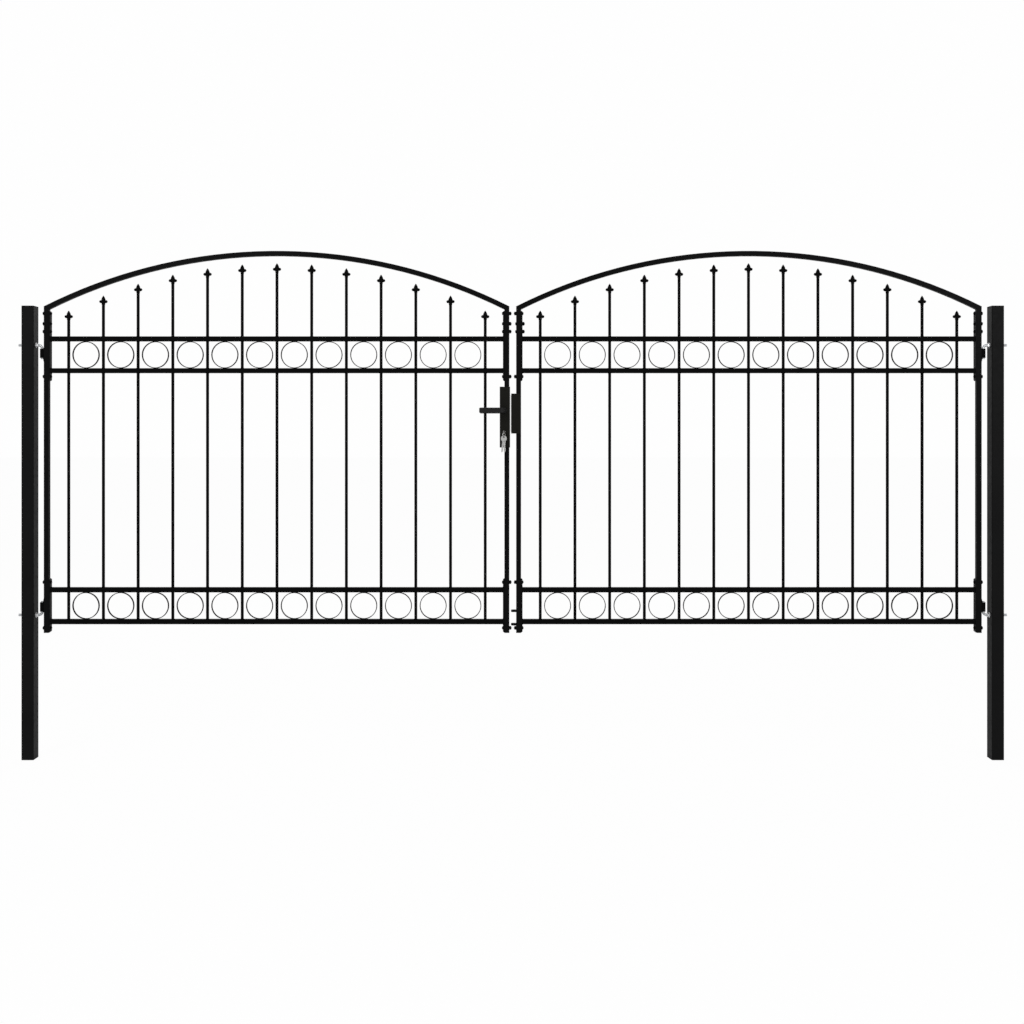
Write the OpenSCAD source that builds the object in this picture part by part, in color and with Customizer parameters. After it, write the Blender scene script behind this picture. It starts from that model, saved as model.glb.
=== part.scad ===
// Double fence gate: two arched leaves of square tube and round bar, hung on square posts.
// Origin at the middle of the left post's foot, +X along the gate, +Y to the back, +Z up.

/* [Posts] */
// Outside width of the square post tube
post_size = 50; // [44:1:70]
// Wall of the post tube
post_wall = 2; // [1.5:0.5:4]
// Outside corner radius of the post tube
post_corner = 4; // [3:0.5:6]
// Length of the post tube above the upper pintle bar
post_above = 156; // [90:1:400]
// Clear width between the two posts
clear_opening = 3900; // [3700:10:4300]
// Thickness of the flat top of a post cap
cap_top = 4; // [2:0.5:10]
// Depth of the cap's plug inside the post
cap_plug = 18; // [8:1:40]

/* [Leaf frame] */
// Outside width of the square tube of the leaves
leaf_tube = 20; // [18:1:24]
// Wall of the leaf tube
leaf_wall = 1.5; // [1:0.25:2.5]
// Outside corner radius of the leaf tube
leaf_corner = 2; // [1.5:0.25:3]
// Gap between a post and its leaf
hinge_gap = 35; // [34:1:50]
// Gap between the two leaves
meeting_gap = 28; // [26:1:34]
// Height of the stiles' lower ends
leaf_foot = 515; // [490:1:530]
// Height of the arch's crown above the top rail, from centre line to centre line
arch_crown = 349; // [320:1:480]
// Radius of the arch's centre line
arch_radius = 2100; // [1900:10:2400]

/* [Rails, pickets and rings] */
// Height of the bottom rail above the stiles' lower ends
bottom_rail_above = 45; // [40:1:70]
// Distance between the two rails of a band
band_pitch = 130; // [120:1:140]
// Diameter of the round pickets
picket_d = 12; // [8:0.5:14]
// Number of pickets in a leaf
picket_count = 13; // [9:1:15]
// Distance from a stile's inner face to the first picket
end_bay = 78.5; // [70:0.5:100]
// Thickness of the ring strip
ring_strip = 3; // [1.5:0.5:4]
// Width of the ring strip, front to back
ring_width = 8; // [5:0.5:12]

/* [Spear heads] */
// Height of a spear head above its picket
head_height = 35; // [30:1:44]
// Width of a spear head across its side lobes
head_width = 34; // [28:1:40]
// Diameter of the middle bud
bud_d = 16; // [13:0.5:18]
// Diameter of a side lobe
lobe_d = 12; // [6:0.5:13]
// Gap between the middle spear tip and the arch
crown_gap = 29; // [15:1:60]
// Radius of the arc that the spear tips follow
tip_radius = 1970; // [1800:10:2200]

/* [End plates] */
// Thickness of the bolted end plates
plate_thickness = 6; // [4:0.5:8]
// Gap between the upper plates and the arch
plate_arch_gap = 6.4; // [5:0.2:20]
// Reach of the upper plates below the second rail
upper_plate_below = 42; // [36:1:60]
// Reach of the lower plates above the third rail
lower_plate_above = 46; // [36:1:60]
// Reach of the lower plates below the bottom rail
lower_plate_below = 43; // [20:1:44]
// Chamfer at the plates' inner ends
plate_chamfer = 4; // [1:0.5:5]
// Gap between the upper plates and the lock case
plate_lock_gap = 24; // [5:1:60]
// Height of the arch leg's joint, as a share of the upper plate's reach above the top rail
leg_joint_share = 0.4; // [0.3:0.05:0.7]

/* [Hinges] */
// Diameter of the bent pintle bar
pin_d = 10; // [9:0.5:13]
// Outside diameter of a hinge barrel
barrel_d = 18; // [17:0.5:22]
// Length of a hinge barrel
barrel_length = 37.5; // [25:0.5:50]
// Distance from the top rail down to the upper pintle bar
upper_pintle_below = 26; // [15:1:60]
// Distance from the bottom rail up to the lower pintle bar
lower_pintle_above = 27; // [15:1:60]
// Centre-line radius of the pintle's bend
bend_radius = 14; // [12:0.5:15]
// Length of bar standing out of the post's outer face
pintle_stub = 20; // [5:1:30]
// Length of pin standing past the barrel
pin_tail = 5; // [2:1:12]
// Thickness of the barrel's strap
strap_thickness = 2; // [1:0.25:2]
// Height of the barrel's strap
strap_length = 59; // [45:1:70]
// Width of the barrel's strap
strap_width = 16; // [12:1:18]
// Width across the flats of the lock nut
nut_flats = 17; // [16:1:22]
// Thickness of the lock nut
nut_thickness = 8; // [4:0.5:8]
// Diameter of the washer
washer_d = 21; // [20:1:28]
// Thickness of the washer
washer_thickness = 2; // [1:0.5:2]

/* [Lock] */
// Height of the middle of the lock case
lock_height = 1396; // [1300:1:1410]
// Length of the lock case
lock_length = 248; // [235:1:260]
// Width of the lock case along the gate
lock_width = 42; // [40:1:60]
// Depth of the lock case, front to back
lock_depth = 30; // [28:1:40]
// Reach of the lock case past the meeting face of its stile
lock_reach = 3; // [2.5:0.5:6]
// Depth of the sockets that take the cut ends of the stile
lock_socket = 20; // [10:1:30]
// Distance from the forend to the lever and cylinder
backset = 25; // [22:0.5:26]
// Distance from the upper end of the case down to the lever
lever_below = 97; // [64:1:114]
// Distance from the lower end of the case up to the cylinder
cylinder_above = 61; // [56:1:74]
// Reach of a lever from its axis to its tip
lever_reach = 100; // [80:1:120]
// Height of a lever's section
lever_section = 22; // [18:1:24]
// Thickness of a lever's section
lever_thickness = 11; // [10:0.5:14]
// Length of a lever's neck
lever_neck = 20; // [12:1:35]
// Width of the square spindle
spindle_size = 8; // [7:0.5:9]
// Diameter of the cylinder's round part
cylinder_d = 17; // [16:0.5:18]
// Height of the cylinder's profile
cylinder_height = 33; // [28:1:36]
// Reach of the cylinder past each face of the case
cylinder_reach = 4; // [2:0.5:8]

/* [Keep and drop bolt guides] */
// Gap between the lock case and the keep
keep_gap = 5; // [5:0.5:10]
// Length of the keep
keep_length = 163; // [140:1:200]
// Height of the keep's middle above the lock's middle
keep_above = 14.5; // [0:0.5:25]
// Reach of the keep's cheeks over the stile
keep_cheek = 18; // [10:1:19]
// Length of the latch pocket
pocket_length = 110; // [80:1:130]
// Width of the latch pocket
pocket_width = 14; // [10:1:18]
// Depth of the latch pocket
pocket_depth = 13; // [8:0.5:14]
// Reach of a drop bolt guide from its stile
guide_reach = 21; // [20:0.5:21]
// Width of a drop bolt guide
guide_width = 20; // [18:1:20]
// Thickness of a drop bolt guide
guide_thickness = 8; // [5:0.5:12]
// Bore for the drop bolt
guide_bore = 13; // [9:0.5:14]
// Distance from the bottom rail up to the upper guide's middle
upper_guide_above = 44; // [20:1:80]
// Distance from the bottom rail down to the lower guide's middle
lower_guide_below = 11; // [0:1:30]

/* [Keys] */
// Diameter of a key's bow
bow_d = 24; // [20:1:26]
// Thickness of a key
key_thickness = 2; // [1.6:0.1:2.2]
// Length of a key's blade
key_blade = 44; // [36:1:48]
// Height of a key's blade
key_height = 8; // [6:0.5:8.5]
// Diameter of the hole in a bow
bow_hole = 8; // [7.5:0.5:9]
// Outside diameter of the key ring
key_ring_d = 17; // [17:1:30]
// Wire of the key ring
key_wire = 1.6; // [1.2:0.1:2]

/* [Hidden] */
$fn = 48;

// Colours
coat = [0.07, 0.07, 0.075];
zinc = [0.72, 0.73, 0.75];
nickel = [0.80, 0.79, 0.76];
cap_black = [0.05, 0.05, 0.055];

// Clearances
slip = 0.15;            // between pieces that are pushed together
pin_slip = 0.05;        // around pins and journals
seat = 0.3;             // between faces that turn on each other
joint_gap = 0.4;        // at the bolted joint of an arch leg
overrun = 1;            // how far cuts run past the faces they cut
arc_faces = 720;        // segments of the large arcs

// Places along the gate
post_pitch = clear_opening + post_size;
leaf_width = (clear_opening - 2 * hinge_gap - meeting_gap) / 2;
hinge_face = post_size / 2 + hinge_gap;
meeting_face = hinge_face + leaf_width;
half_tube = leaf_tube / 2;
hinge_line = hinge_face + half_tube;
meeting_line = meeting_face - half_tube;
leaf_middle = (hinge_face + meeting_face) / 2;

// Heights, from the stiles' feet over the lock to the top rail, the posts and the arch
bottom_rail = leaf_foot + bottom_rail_above;
third_rail = bottom_rail + band_pitch;
second_rail = lock_height + lock_length / 2 + plate_lock_gap + upper_plate_below;
top_rail = second_rail + band_pitch;
upper_pintle = top_rail - upper_pintle_below;
lower_pintle = bottom_rail + lower_pintle_above;
post_length = upper_pintle + post_above;
crown_height = top_rail + arch_crown;

// Arch: its centre line's circle and the mitres at its two ends
half_chord = (meeting_line - hinge_line) / 2;
arch_centre = crown_height - arch_radius;
arch_angle = asin(half_chord / arch_radius);
arch_spring = arch_centre + arch_radius * cos(arch_angle);
mitre_angle = (90 - arch_angle) / 2;
mitre_reach = 2 * leaf_tube;
mitre_spare_share = 1.04;

// Rails and pickets
rail_start = hinge_face + leaf_tube + plate_thickness;
rail_end = meeting_face - leaf_tube - plate_thickness;
picket_first = hinge_face + leaf_tube + end_bay;
picket_last = meeting_face - leaf_tube - end_bay;
picket_pitch = (picket_last - picket_first) / (picket_count - 1);
picket_foot = bottom_rail + half_tube;
tip_crown = crown_height - half_tube - crown_gap;
ring_d = min(band_pitch - leaf_tube, picket_pitch - picket_d) - 2 * slip;

// Spear head: a knob on a widening neck, with a bud and two lobes that are rooted inside the knob.
// Shares of a bud's radius and of its length from the knob's middle, from its root to its point
bud_shares = [[0.9, 0.05], [0.98, 0.2], [0.74, 0.48], [0.28, 0.82], [0, 1]];
lobe_shares = [[0.85, 0.3], [1, 0.55], [0.86, 0.84], [0.45, 0.98], [0, 1]];
knob_share = 0.3;
lobe_lean = 88;
knob_d = bud_d - 2 * slip;
lobe_length = head_width / 2 / sin(lobe_lean) - lobe_d / 2 * cos(lobe_lean);
collar_wall = 0.7;
collar_d = picket_d + 2 * slip + 2 * collar_wall;
head_socket = 4;

// Bolted plates, up to the arch's underside beside the stile, and the joint of the arch legs
arch_inside = arch_radius - half_tube;
plate_place = half_chord - half_tube;
upper_plate_top = arch_centre + sqrt(arch_inside * arch_inside - plate_place * plate_place) - plate_arch_gap;
leg_foot = top_rail + leg_joint_share * (upper_plate_top - top_rail);

// Hinges
barrel_set = 0.5;       // between a barrel and the stile's face
hinge_axis = hinge_face - barrel_set - barrel_d / 2;
strap_taper = 6;
strap_gap = 5;          // between the pintle bar and the strap's end
strap_drop = pin_d / 2 + strap_gap;

// Lock
lock_end = meeting_face + lock_reach;
lock_start = lock_end - lock_width;
lock_corner = 3;
forend_thickness = 2;
forend_width = 20;
forend_margin = 28;
lock_axis = lock_end - backset;
lever_height = lock_height + lock_length / 2 - lever_below;
cylinder_z = lock_height - lock_length / 2 + cylinder_above;
journal_d = 16;
journal_depth = 5;
lever_collar_d = 24;
lever_collar = 6;
lever_corner = 4.5;
lever_bend = 15;
lever_return = 9;
lever_tip = 5;
spindle_hole = spindle_size * sqrt(2) + 2 * seat;
spindle_grip = 10;
cylinder_tail = 10;
keyway_depth = 28;
bolt_slot_width = 12;
latch_slot = 22;
dead_slot = 30;
slot_spread = 34;

// Keep and guides, measured from the meeting face of their stile
keep_reach = meeting_gap - lock_reach - keep_gap;
keep_height = lock_height + keep_above;
keep_corner = 3;
upper_guide = bottom_rail + upper_guide_above;
lower_guide = bottom_rail - lower_guide_below;

// Keys: one in the cylinder, its ring, and two more that hang from it
bow_rim = 2.2;          // metal between a bow's hole and its edge
key_shoulder = 3;       // from the cylinder's face to the bow's edge
key_in = 24;
hole_offset = bow_d / 2 - bow_rim - bow_hole / 2;
key_face = lock_depth / 2 + cylinder_reach;
bow_y = -key_face - key_shoulder - bow_d / 2;
ring_top_y = bow_y - hole_offset;
key_ring_r = key_ring_d / 2 - key_wire / 2;
key_rest = 1.7;         // from a bow hole's edge to the wire that crosses it aslant
ring_z = cylinder_z - bow_hole / 2 + key_wire / 2 + key_rest - key_ring_r;
ring_turn = 45;
spare_lean = 4;
spare_gap = 0.6;
spare_step = (key_thickness + spare_gap) / 2;

// A square with round corners, centred
module round_square(size_x, size_y, r) {
    square([size_x - 2 * r, size_y], center = true);
    square([size_x, size_y - 2 * r], center = true);
    for (sx = [-1, 1], sy = [-1, 1])
        translate([sx * (size_x / 2 - r), sy * (size_y / 2 - r)]) circle(r);
}

// The section of a square tube with round corners
module tube_section(size, wall, r) {
    difference() {
        round_square(size, size, r);
        round_square(size - 2 * wall, size - 2 * wall, max(r - wall, r / 4));
    }
}

module leaf_section() {
    tube_section(leaf_tube, leaf_wall, leaf_corner);
}

// A standing leaf tube from one height to another
module standing_tube(x, from, to) {
    translate([x, 0, from]) linear_extrude(to - from) leaf_section();
}

// Half of space above or below the mitre at an arch's hinge end
module mitre_half(above) {
    translate([hinge_line, 0, arch_spring]) rotate([0, mitre_angle, 0])
        translate([-mitre_reach, -leaf_tube, above ? 0 : -mitre_reach])
            cube([2 * mitre_reach, 2 * leaf_tube, mitre_reach]);
}

// Puts what is modelled at a leaf's hinge end at its meeting end
module at_meeting_end() {
    translate([2 * leaf_middle, 0, 0]) mirror([1, 0, 0]) children();
}

// Puts what is modelled on the left half of the gate on the right half
module on_right() {
    translate([post_pitch, 0, 0]) mirror([1, 0, 0]) children();
}

// Post tube with the holes that its pintle bars pass through
module post() {
    color(coat) difference() {
        linear_extrude(post_length) tube_section(post_size, post_wall, post_corner);
        for (z = [lower_pintle, upper_pintle])
            translate([0, 0, z]) rotate([0, 90, 0])
                cylinder(h = post_size + 2 * overrun, d = pin_d + 2 * slip, center = true);
    }
}

// Flat cap with a plug that fits inside the post
module post_cap() {
    plug = post_size - 2 * post_wall - 2 * slip;
    color(cap_black) {
        translate([0, 0, post_length]) linear_extrude(cap_top)
            round_square(post_size, post_size, post_corner);
        translate([0, 0, post_length - cap_plug]) linear_extrude(cap_plug + cap_top / 2)
            tube_section(plug, post_wall, post_corner - post_wall);
    }
}

// Bent pintle bar: through the post, round a bend and down along the hinge axis
module pintle_bar() {
    bar_start = -post_size / 2 - pintle_stub;
    pin_length = seat + barrel_length + pin_tail;
    translate([bar_start, 0, 0]) rotate([0, 90, 0])
        cylinder(h = hinge_axis - bend_radius - bar_start, d = pin_d);
    translate([hinge_axis - bend_radius, 0, -bend_radius]) rotate([90, 0, 0])
        rotate_extrude(angle = 90) translate([bend_radius, 0]) circle(d = pin_d);
    translate([hinge_axis, 0, -bend_radius - pin_length])
        cylinder(h = pin_length, d = pin_d);
}

module upper_pintle_bar() {
    color(zinc) translate([0, 0, upper_pintle]) pintle_bar();
}

module lower_pintle_bar() {
    color(zinc) translate([0, 0, lower_pintle]) mirror([0, 0, 1]) pintle_bar();
}

// Washer and lock nut on the inner face of the post, at both heights
module pintle_nuts() {
    hole = pin_d + 2 * slip;
    color(zinc) for (z = [lower_pintle, upper_pintle])
        translate([post_size / 2, 0, z]) rotate([0, 90, 0]) difference() {
            union() {
                cylinder(h = washer_thickness, d = washer_d);
                translate([0, 0, washer_thickness / 2])
                    cylinder(h = washer_thickness / 2 + nut_thickness, d = nut_flats / cos(30), $fn = 6);
            }
            translate([0, 0, -overrun])
                cylinder(h = washer_thickness + nut_thickness + 2 * overrun, d = hole);
        }
}

// Short leg under an arch's end, mitred at the top
module arch_leg() {
    difference() {
        standing_tube(hinge_line, leg_foot, arch_spring + leaf_tube);
        mitre_half(true);
    }
}

// Hinge stile and the arch leg that stands on it
module hinge_stile() {
    color(coat) {
        standing_tube(hinge_line, leaf_foot, leg_foot - joint_gap);
        arch_leg();
    }
}

// Meeting stile of the right leaf, in one length under its arch leg
module whole_meeting_stile() {
    color(coat) at_meeting_end() {
        standing_tube(hinge_line, leaf_foot, leg_foot - joint_gap);
        arch_leg();
    }
}

// Meeting stile of the left leaf, cut where the lock case sits
module cut_meeting_stile() {
    case_low = lock_height - lock_length / 2 + lock_socket;
    case_high = lock_height + lock_length / 2 - lock_socket;
    color(coat) at_meeting_end() {
        standing_tube(hinge_line, leaf_foot, case_low);
        standing_tube(hinge_line, case_high, leg_foot - joint_gap);
        arch_leg();
    }
}

// Arched top tube, mitred at both ends
module arch() {
    swing = arch_angle * mitre_spare_share;
    color(coat) intersection() {
        translate([leaf_middle, 0, arch_centre]) rotate([90, 0, 0]) rotate([0, 0, 90 - swing])
            rotate_extrude(angle = 2 * swing, $fn = arc_faces) translate([arch_radius, 0]) leaf_section();
        arch_space();
    }
}

// The space between the two mitres of an arch
module arch_space() {
    difference() {
        translate([hinge_face - leaf_tube, -leaf_tube, arch_spring - mitre_reach])
            cube([leaf_width + 2 * leaf_tube, 2 * leaf_tube, crown_height - arch_spring + 2 * mitre_reach]);
        mitre_half(false);
        at_meeting_end() mitre_half(false);
    }
}

// One rail tube between the end plates
module rail(z) {
    translate([rail_start, 0, z]) rotate([90, 0, 90]) linear_extrude(rail_end - rail_start) leaf_section();
}

// Holes that the pickets pass through
module picket_holes(z) {
    for (i = [0 : picket_count - 1])
        translate([picket_first + i * picket_pitch, 0, z])
            cylinder(h = leaf_tube + 2 * overrun, d = picket_d + 2 * slip, center = true);
}

module upper_rails() {
    color(coat) for (z = [second_rail, top_rail]) difference() {
        rail(z);
        picket_holes(z);
    }
}

// The third rail is punched, and the pickets stand on the bottom one
module lower_rails() {
    color(coat) {
        rail(bottom_rail);
        difference() {
            rail(third_rail);
            picket_holes(third_rail);
        }
    }
}

// Height of the spear tip over a place along the leaf
function tip_height(x) =
    tip_crown - tip_radius + sqrt(tip_radius * tip_radius - (x - leaf_middle) * (x - leaf_middle));

module pickets() {
    color(coat) for (i = [0 : picket_count - 1]) {
        x = picket_first + i * picket_pitch;
        translate([x, 0, picket_foot])
            cylinder(h = tip_height(x) - head_height - picket_foot, d = picket_d);
    }
}

// A turned bud: shares of its radius and length, spun round its own axis
module bud(shares, r, length) {
    rotate_extrude() polygon(concat(
        [[0, shares[0][1] * length]],
        [for (p = shares) [p[0] * r, p[1] * length]]));
}

// Spear head: a neck that sockets the picket, a knob, a pointed bud and two side lobes
module spear_head() {
    knob_height = head_height * knob_share;
    difference() {
        union() {
            translate([0, 0, -head_socket]) cylinder(h = head_socket, d = collar_d);
            cylinder(h = knob_height, d1 = collar_d, d2 = knob_d - 2 * slip);
            translate([0, 0, knob_height]) {
                sphere(d = knob_d);
                bud(bud_shares, bud_d / 2, head_height - knob_height);
                for (lean = [-lobe_lean, lobe_lean])
                    rotate([0, lean, 0]) bud(lobe_shares, lobe_d / 2, lobe_length);
            }
        }
        translate([0, 0, -head_socket - overrun])
            cylinder(h = head_socket + overrun, d = picket_d + 2 * slip);
    }
}

module spear_heads() {
    color(coat) for (i = [0 : picket_count - 1]) {
        x = picket_first + i * picket_pitch;
        translate([x, 0, tip_height(x) - head_height]) spear_head();
    }
}

// One ring in each space between two pickets of a band
module rings(z) {
    color(coat) for (i = [0 : picket_count - 2])
        translate([picket_first + (i + 1 / 2) * picket_pitch, 0, z]) rotate([90, 0, 0])
            linear_extrude(ring_width, center = true) difference() {
                circle(d = ring_d);
                circle(d = ring_d - 2 * ring_strip);
            }
}

// Flat plate on the inner face of the hinge stile, its inner ends chamfered
module end_plate(from, to) {
    translate([hinge_face + leaf_tube, half_tube, 0]) rotate([90, 0, 0]) linear_extrude(leaf_tube)
        polygon([
            [0, from],
            [plate_thickness - plate_chamfer, from],
            [plate_thickness, from + plate_chamfer],
            [plate_thickness, to - plate_chamfer],
            [plate_thickness - plate_chamfer, to],
            [0, to]]);
}

module hinge_plates() {
    color(coat) {
        end_plate(second_rail - upper_plate_below, upper_plate_top);
        end_plate(bottom_rail - lower_plate_below, third_rail + lower_plate_above);
    }
}

module meeting_plates() {
    at_meeting_end() hinge_plates();
}

// Hinge barrel and its strap, under the upper pintle's bend; the bore is cut through both
module hinge_barrel() {
    top = -bend_radius - seat;
    difference() {
        union() {
            translate([hinge_axis, 0, top - barrel_length]) cylinder(h = barrel_length, d = barrel_d);
            translate([hinge_face, strap_width / 2, 0]) rotate([90, 0, 0]) linear_extrude(strap_width)
                polygon([
                    [0, -strap_drop],
                    [-strap_thickness, -strap_drop - strap_taper],
                    [-strap_thickness, -strap_drop - strap_length + strap_taper],
                    [0, -strap_drop - strap_length]]);
        }
        translate([hinge_axis, 0, top - barrel_length - overrun])
            cylinder(h = barrel_length + 2 * overrun, d = pin_d + 2 * pin_slip);
    }
}

module hinge_barrels() {
    color(coat) {
        translate([0, 0, upper_pintle]) hinge_barrel();
        translate([0, 0, lower_pintle]) mirror([0, 0, 1]) hinge_barrel();
    }
}

// The cylinder's profile: a round part over a narrower round-ended tail
module cylinder_profile(grow) {
    tail_drop = cylinder_height - cylinder_d / 2 - cylinder_tail / 2;
    circle(d = cylinder_d + 2 * grow);
    translate([-cylinder_tail / 2 - grow, -tail_drop]) square([cylinder_tail + 2 * grow, tail_drop]);
    translate([0, -tail_drop]) circle(d = cylinder_tail + 2 * grow);
}

// Lock case: sockets for the stile's cut ends, bores for the lever and the cylinder
module lock_case() {
    low = lock_height - lock_length / 2;
    socket = leaf_tube + 2 * slip;
    socket_place = [meeting_line - socket / 2, -socket / 2];
    color(coat) difference() {
        translate([(lock_start + lock_end) / 2, 0, low]) linear_extrude(lock_length)
            round_square(lock_width, lock_depth, lock_corner);
        for (z = [low - overrun, low + lock_length - lock_socket])
            translate([socket_place[0], socket_place[1], z]) cube([socket, socket, lock_socket + overrun]);
        translate([lock_axis, 0, lever_height]) rotate([90, 0, 0])
            cylinder(h = lock_depth + 2 * overrun, d = spindle_hole, center = true);
        for (side = [-1, 1])
            translate([lock_axis, side * lock_depth / 2, lever_height]) rotate([90, 0, 0])
                cylinder(h = 2 * (journal_depth + seat), d = journal_d + 2 * pin_slip, center = true);
        translate([lock_axis, lock_depth / 2 + overrun, cylinder_z]) rotate([90, 0, 0])
            linear_extrude(lock_depth + 2 * overrun) cylinder_profile(slip);
        translate([lock_end - forend_thickness - slip, -forend_width / 2 - slip, low + forend_margin - slip])
            cube([forend_thickness + slip + overrun, forend_width + 2 * slip,
                lock_length - 2 * (forend_margin - slip)]);
    }
}

// Forend plate with the slots of the latch and the dead bolt
module lock_forend() {
    low = lock_height - lock_length / 2 + forend_margin;
    color(zinc) difference() {
        translate([lock_end - forend_thickness, -forend_width / 2, low])
            cube([forend_thickness, forend_width, lock_length - 2 * forend_margin]);
        translate([lock_end - forend_thickness - overrun, -bolt_slot_width / 2, lock_height + slot_spread])
            cube([forend_thickness + 2 * overrun, bolt_slot_width, latch_slot]);
        translate([lock_end - forend_thickness - overrun, -bolt_slot_width / 2,
                lock_height - slot_spread - dead_slot])
            cube([forend_thickness + 2 * overrun, bolt_slot_width, dead_slot]);
    }
}

// Profile cylinder with a keyway in its front
module lock_cylinder() {
    length = lock_depth + 2 * cylinder_reach;
    color(nickel) difference() {
        translate([lock_axis, length / 2, cylinder_z]) rotate([90, 0, 0])
            linear_extrude(length) cylinder_profile(0);
        translate([lock_axis - key_thickness / 2 - slip, -length / 2 - overrun, cylinder_z - key_height / 2 - slip])
            cube([key_thickness + 2 * slip, keyway_depth + overrun, key_height + 2 * slip]);
    }
}

// A key lying flat: its bow at the origin with a hole near the edge, its blade along +X
module key_outline(blade) {
    difference() {
        union() {
            circle(d = bow_d);
            translate([0, -key_height / 2]) square([bow_d / 2 + blade, key_height]);
        }
        translate([-hole_offset, 0]) circle(d = bow_hole);
    }
}

// One more key, hung by its hole from the foot of the ring
module spare_key(lean) {
    rotate([90, 0, 0]) rotate([0, 0, -90 + lean])
        linear_extrude(key_thickness, center = true)
            translate([hole_offset + bow_hole / 2 - key_wire / 2 - key_rest, 0]) key_outline(key_blade);
}

module keys() {
    color(nickel) {
        translate([lock_axis, bow_y, cylinder_z]) rotate([0, 90, 0]) rotate([0, 0, 90])
            linear_extrude(key_thickness, center = true) key_outline(key_shoulder + key_in);
        translate([lock_axis, ring_top_y, ring_z]) rotate([0, 0, ring_turn]) rotate([90, 0, 0])
            rotate_extrude() translate([key_ring_r, 0]) circle(d = key_wire);
        for (side = [-1, 1])
            translate([lock_axis + side * spare_step, ring_top_y + side * spare_step, ring_z - key_ring_r])
                spare_key(side * spare_lean);
    }
}

// The oval section of a lever
module lever_oval() {
    round_square(lever_thickness, lever_section, lever_corner);
}

// Front lever: journal, collar, neck, bend, grip and a short return at the tip
module lever() {
    neck_end = seat + lever_collar + lever_neck;
    grip = lever_reach - lever_bend - lever_return - lever_thickness / 2;
    difference() {
        union() {
            translate([0, journal_depth, 0]) rotate([90, 0, 0])
                cylinder(h = journal_depth + seat + lever_collar / 2, d = journal_d);
            translate([0, -seat, 0]) rotate([90, 0, 0]) cylinder(h = lever_collar, d = lever_collar_d);
            translate([0, -seat - lever_collar / 2, 0]) rotate([90, 0, 0])
                linear_extrude(lever_collar / 2 + lever_neck) lever_oval();
            translate([-lever_bend, -neck_end, 0]) rotate([0, 0, -90])
                rotate_extrude(angle = 90) translate([lever_bend, 0]) lever_oval();
            translate([-lever_bend, -neck_end - lever_bend, 0]) rotate([0, -90, 0]) rotate([0, 0, 90])
                linear_extrude(grip) lever_oval();
            translate([-lever_bend - grip, -neck_end - lever_bend + lever_return, 0]) rotate([0, 0, 180])
                rotate_extrude(angle = 90) translate([lever_return, 0]) lever_oval();
            translate([-lever_bend - grip - lever_return, -neck_end - lever_bend + lever_return, 0])
                rotate([-90, 0, 0]) linear_extrude(lever_tip) lever_oval();
        }
        translate([-spindle_size / 2 - slip, -seat - spindle_grip, -spindle_size / 2 - slip])
            cube([spindle_size + 2 * slip, spindle_grip + seat + journal_depth + overrun, spindle_size + 2 * slip]);
    }
}

module front_lever() {
    color(coat) translate([lock_axis, -lock_depth / 2, lever_height]) lever();
}

module back_lever() {
    color(coat) mirror([0, 1, 0]) front_lever();
}

// Square spindle that joins the two levers through the case
module lever_spindle() {
    length = lock_depth + 2 * spindle_grip;
    color(zinc) translate([lock_axis - spindle_size / 2, -length / 2, lever_height - spindle_size / 2])
        cube([spindle_size, length, spindle_size]);
}

// Keep on the right leaf: a block before the stile with a latch pocket, and two cheeks over the stile
module lock_keep() {
    low = keep_height - keep_length / 2;
    cheek_slip = leaf_tube + 2 * slip;
    color(coat) difference() {
        translate([meeting_face + (keep_reach - keep_cheek) / 2, 0, low]) linear_extrude(keep_length)
            round_square(keep_reach + keep_cheek, lock_depth, keep_corner);
        translate([meeting_face - leaf_tube, -cheek_slip / 2, low - overrun])
            cube([leaf_tube, cheek_slip, keep_length + 2 * overrun]);
        translate([meeting_face + keep_reach - pocket_depth, -pocket_width / 2, keep_height - pocket_length / 2])
            cube([pocket_depth + overrun, pocket_width, pocket_length]);
    }
}

// Two lugs with round ends, bored in line for a drop bolt
module drop_bolt_guides() {
    color(coat) for (z = [lower_guide, upper_guide])
        translate([meeting_face, 0, z - guide_thickness / 2]) linear_extrude(guide_thickness) difference() {
            union() {
                translate([0, -guide_width / 2]) square([guide_reach - guide_width / 2, guide_width]);
                translate([guide_reach - guide_width / 2, 0]) circle(d = guide_width);
            }
            translate([guide_reach - guide_width / 2, 0]) circle(d = guide_bore);
        }
}

post();  // left_post
on_right() post();  // right_post
post_cap();  // left_post_cap
on_right() post_cap();  // right_post_cap
upper_pintle_bar();  // left_upper_pintle
lower_pintle_bar();  // left_lower_pintle
on_right() upper_pintle_bar();  // right_upper_pintle
on_right() lower_pintle_bar();  // right_lower_pintle
pintle_nuts();  // left_pintle_nuts
on_right() pintle_nuts();  // right_pintle_nuts
hinge_stile();  // left_hinge_stile
cut_meeting_stile();  // left_meeting_stile
arch();  // left_arch
upper_rails();  // left_upper_rails
lower_rails();  // left_lower_rails
pickets();  // left_pickets
spear_heads();  // left_spear_heads
rings((top_rail + second_rail) / 2);  // left_upper_rings
rings((bottom_rail + third_rail) / 2);  // left_lower_rings
hinge_plates();  // left_hinge_plates
meeting_plates();  // left_meeting_plates
hinge_barrels();  // left_hinge_barrels
on_right() hinge_stile();  // right_hinge_stile
on_right() whole_meeting_stile();  // right_meeting_stile
on_right() arch();  // right_arch
on_right() upper_rails();  // right_upper_rails
on_right() lower_rails();  // right_lower_rails
on_right() pickets();  // right_pickets
on_right() spear_heads();  // right_spear_heads
on_right() rings((top_rail + second_rail) / 2);  // right_upper_rings
on_right() rings((bottom_rail + third_rail) / 2);  // right_lower_rings
on_right() hinge_plates();  // right_hinge_plates
on_right() meeting_plates();  // right_meeting_plates
on_right() hinge_barrels();  // right_hinge_barrels
lock_case();
lock_forend();
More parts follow.
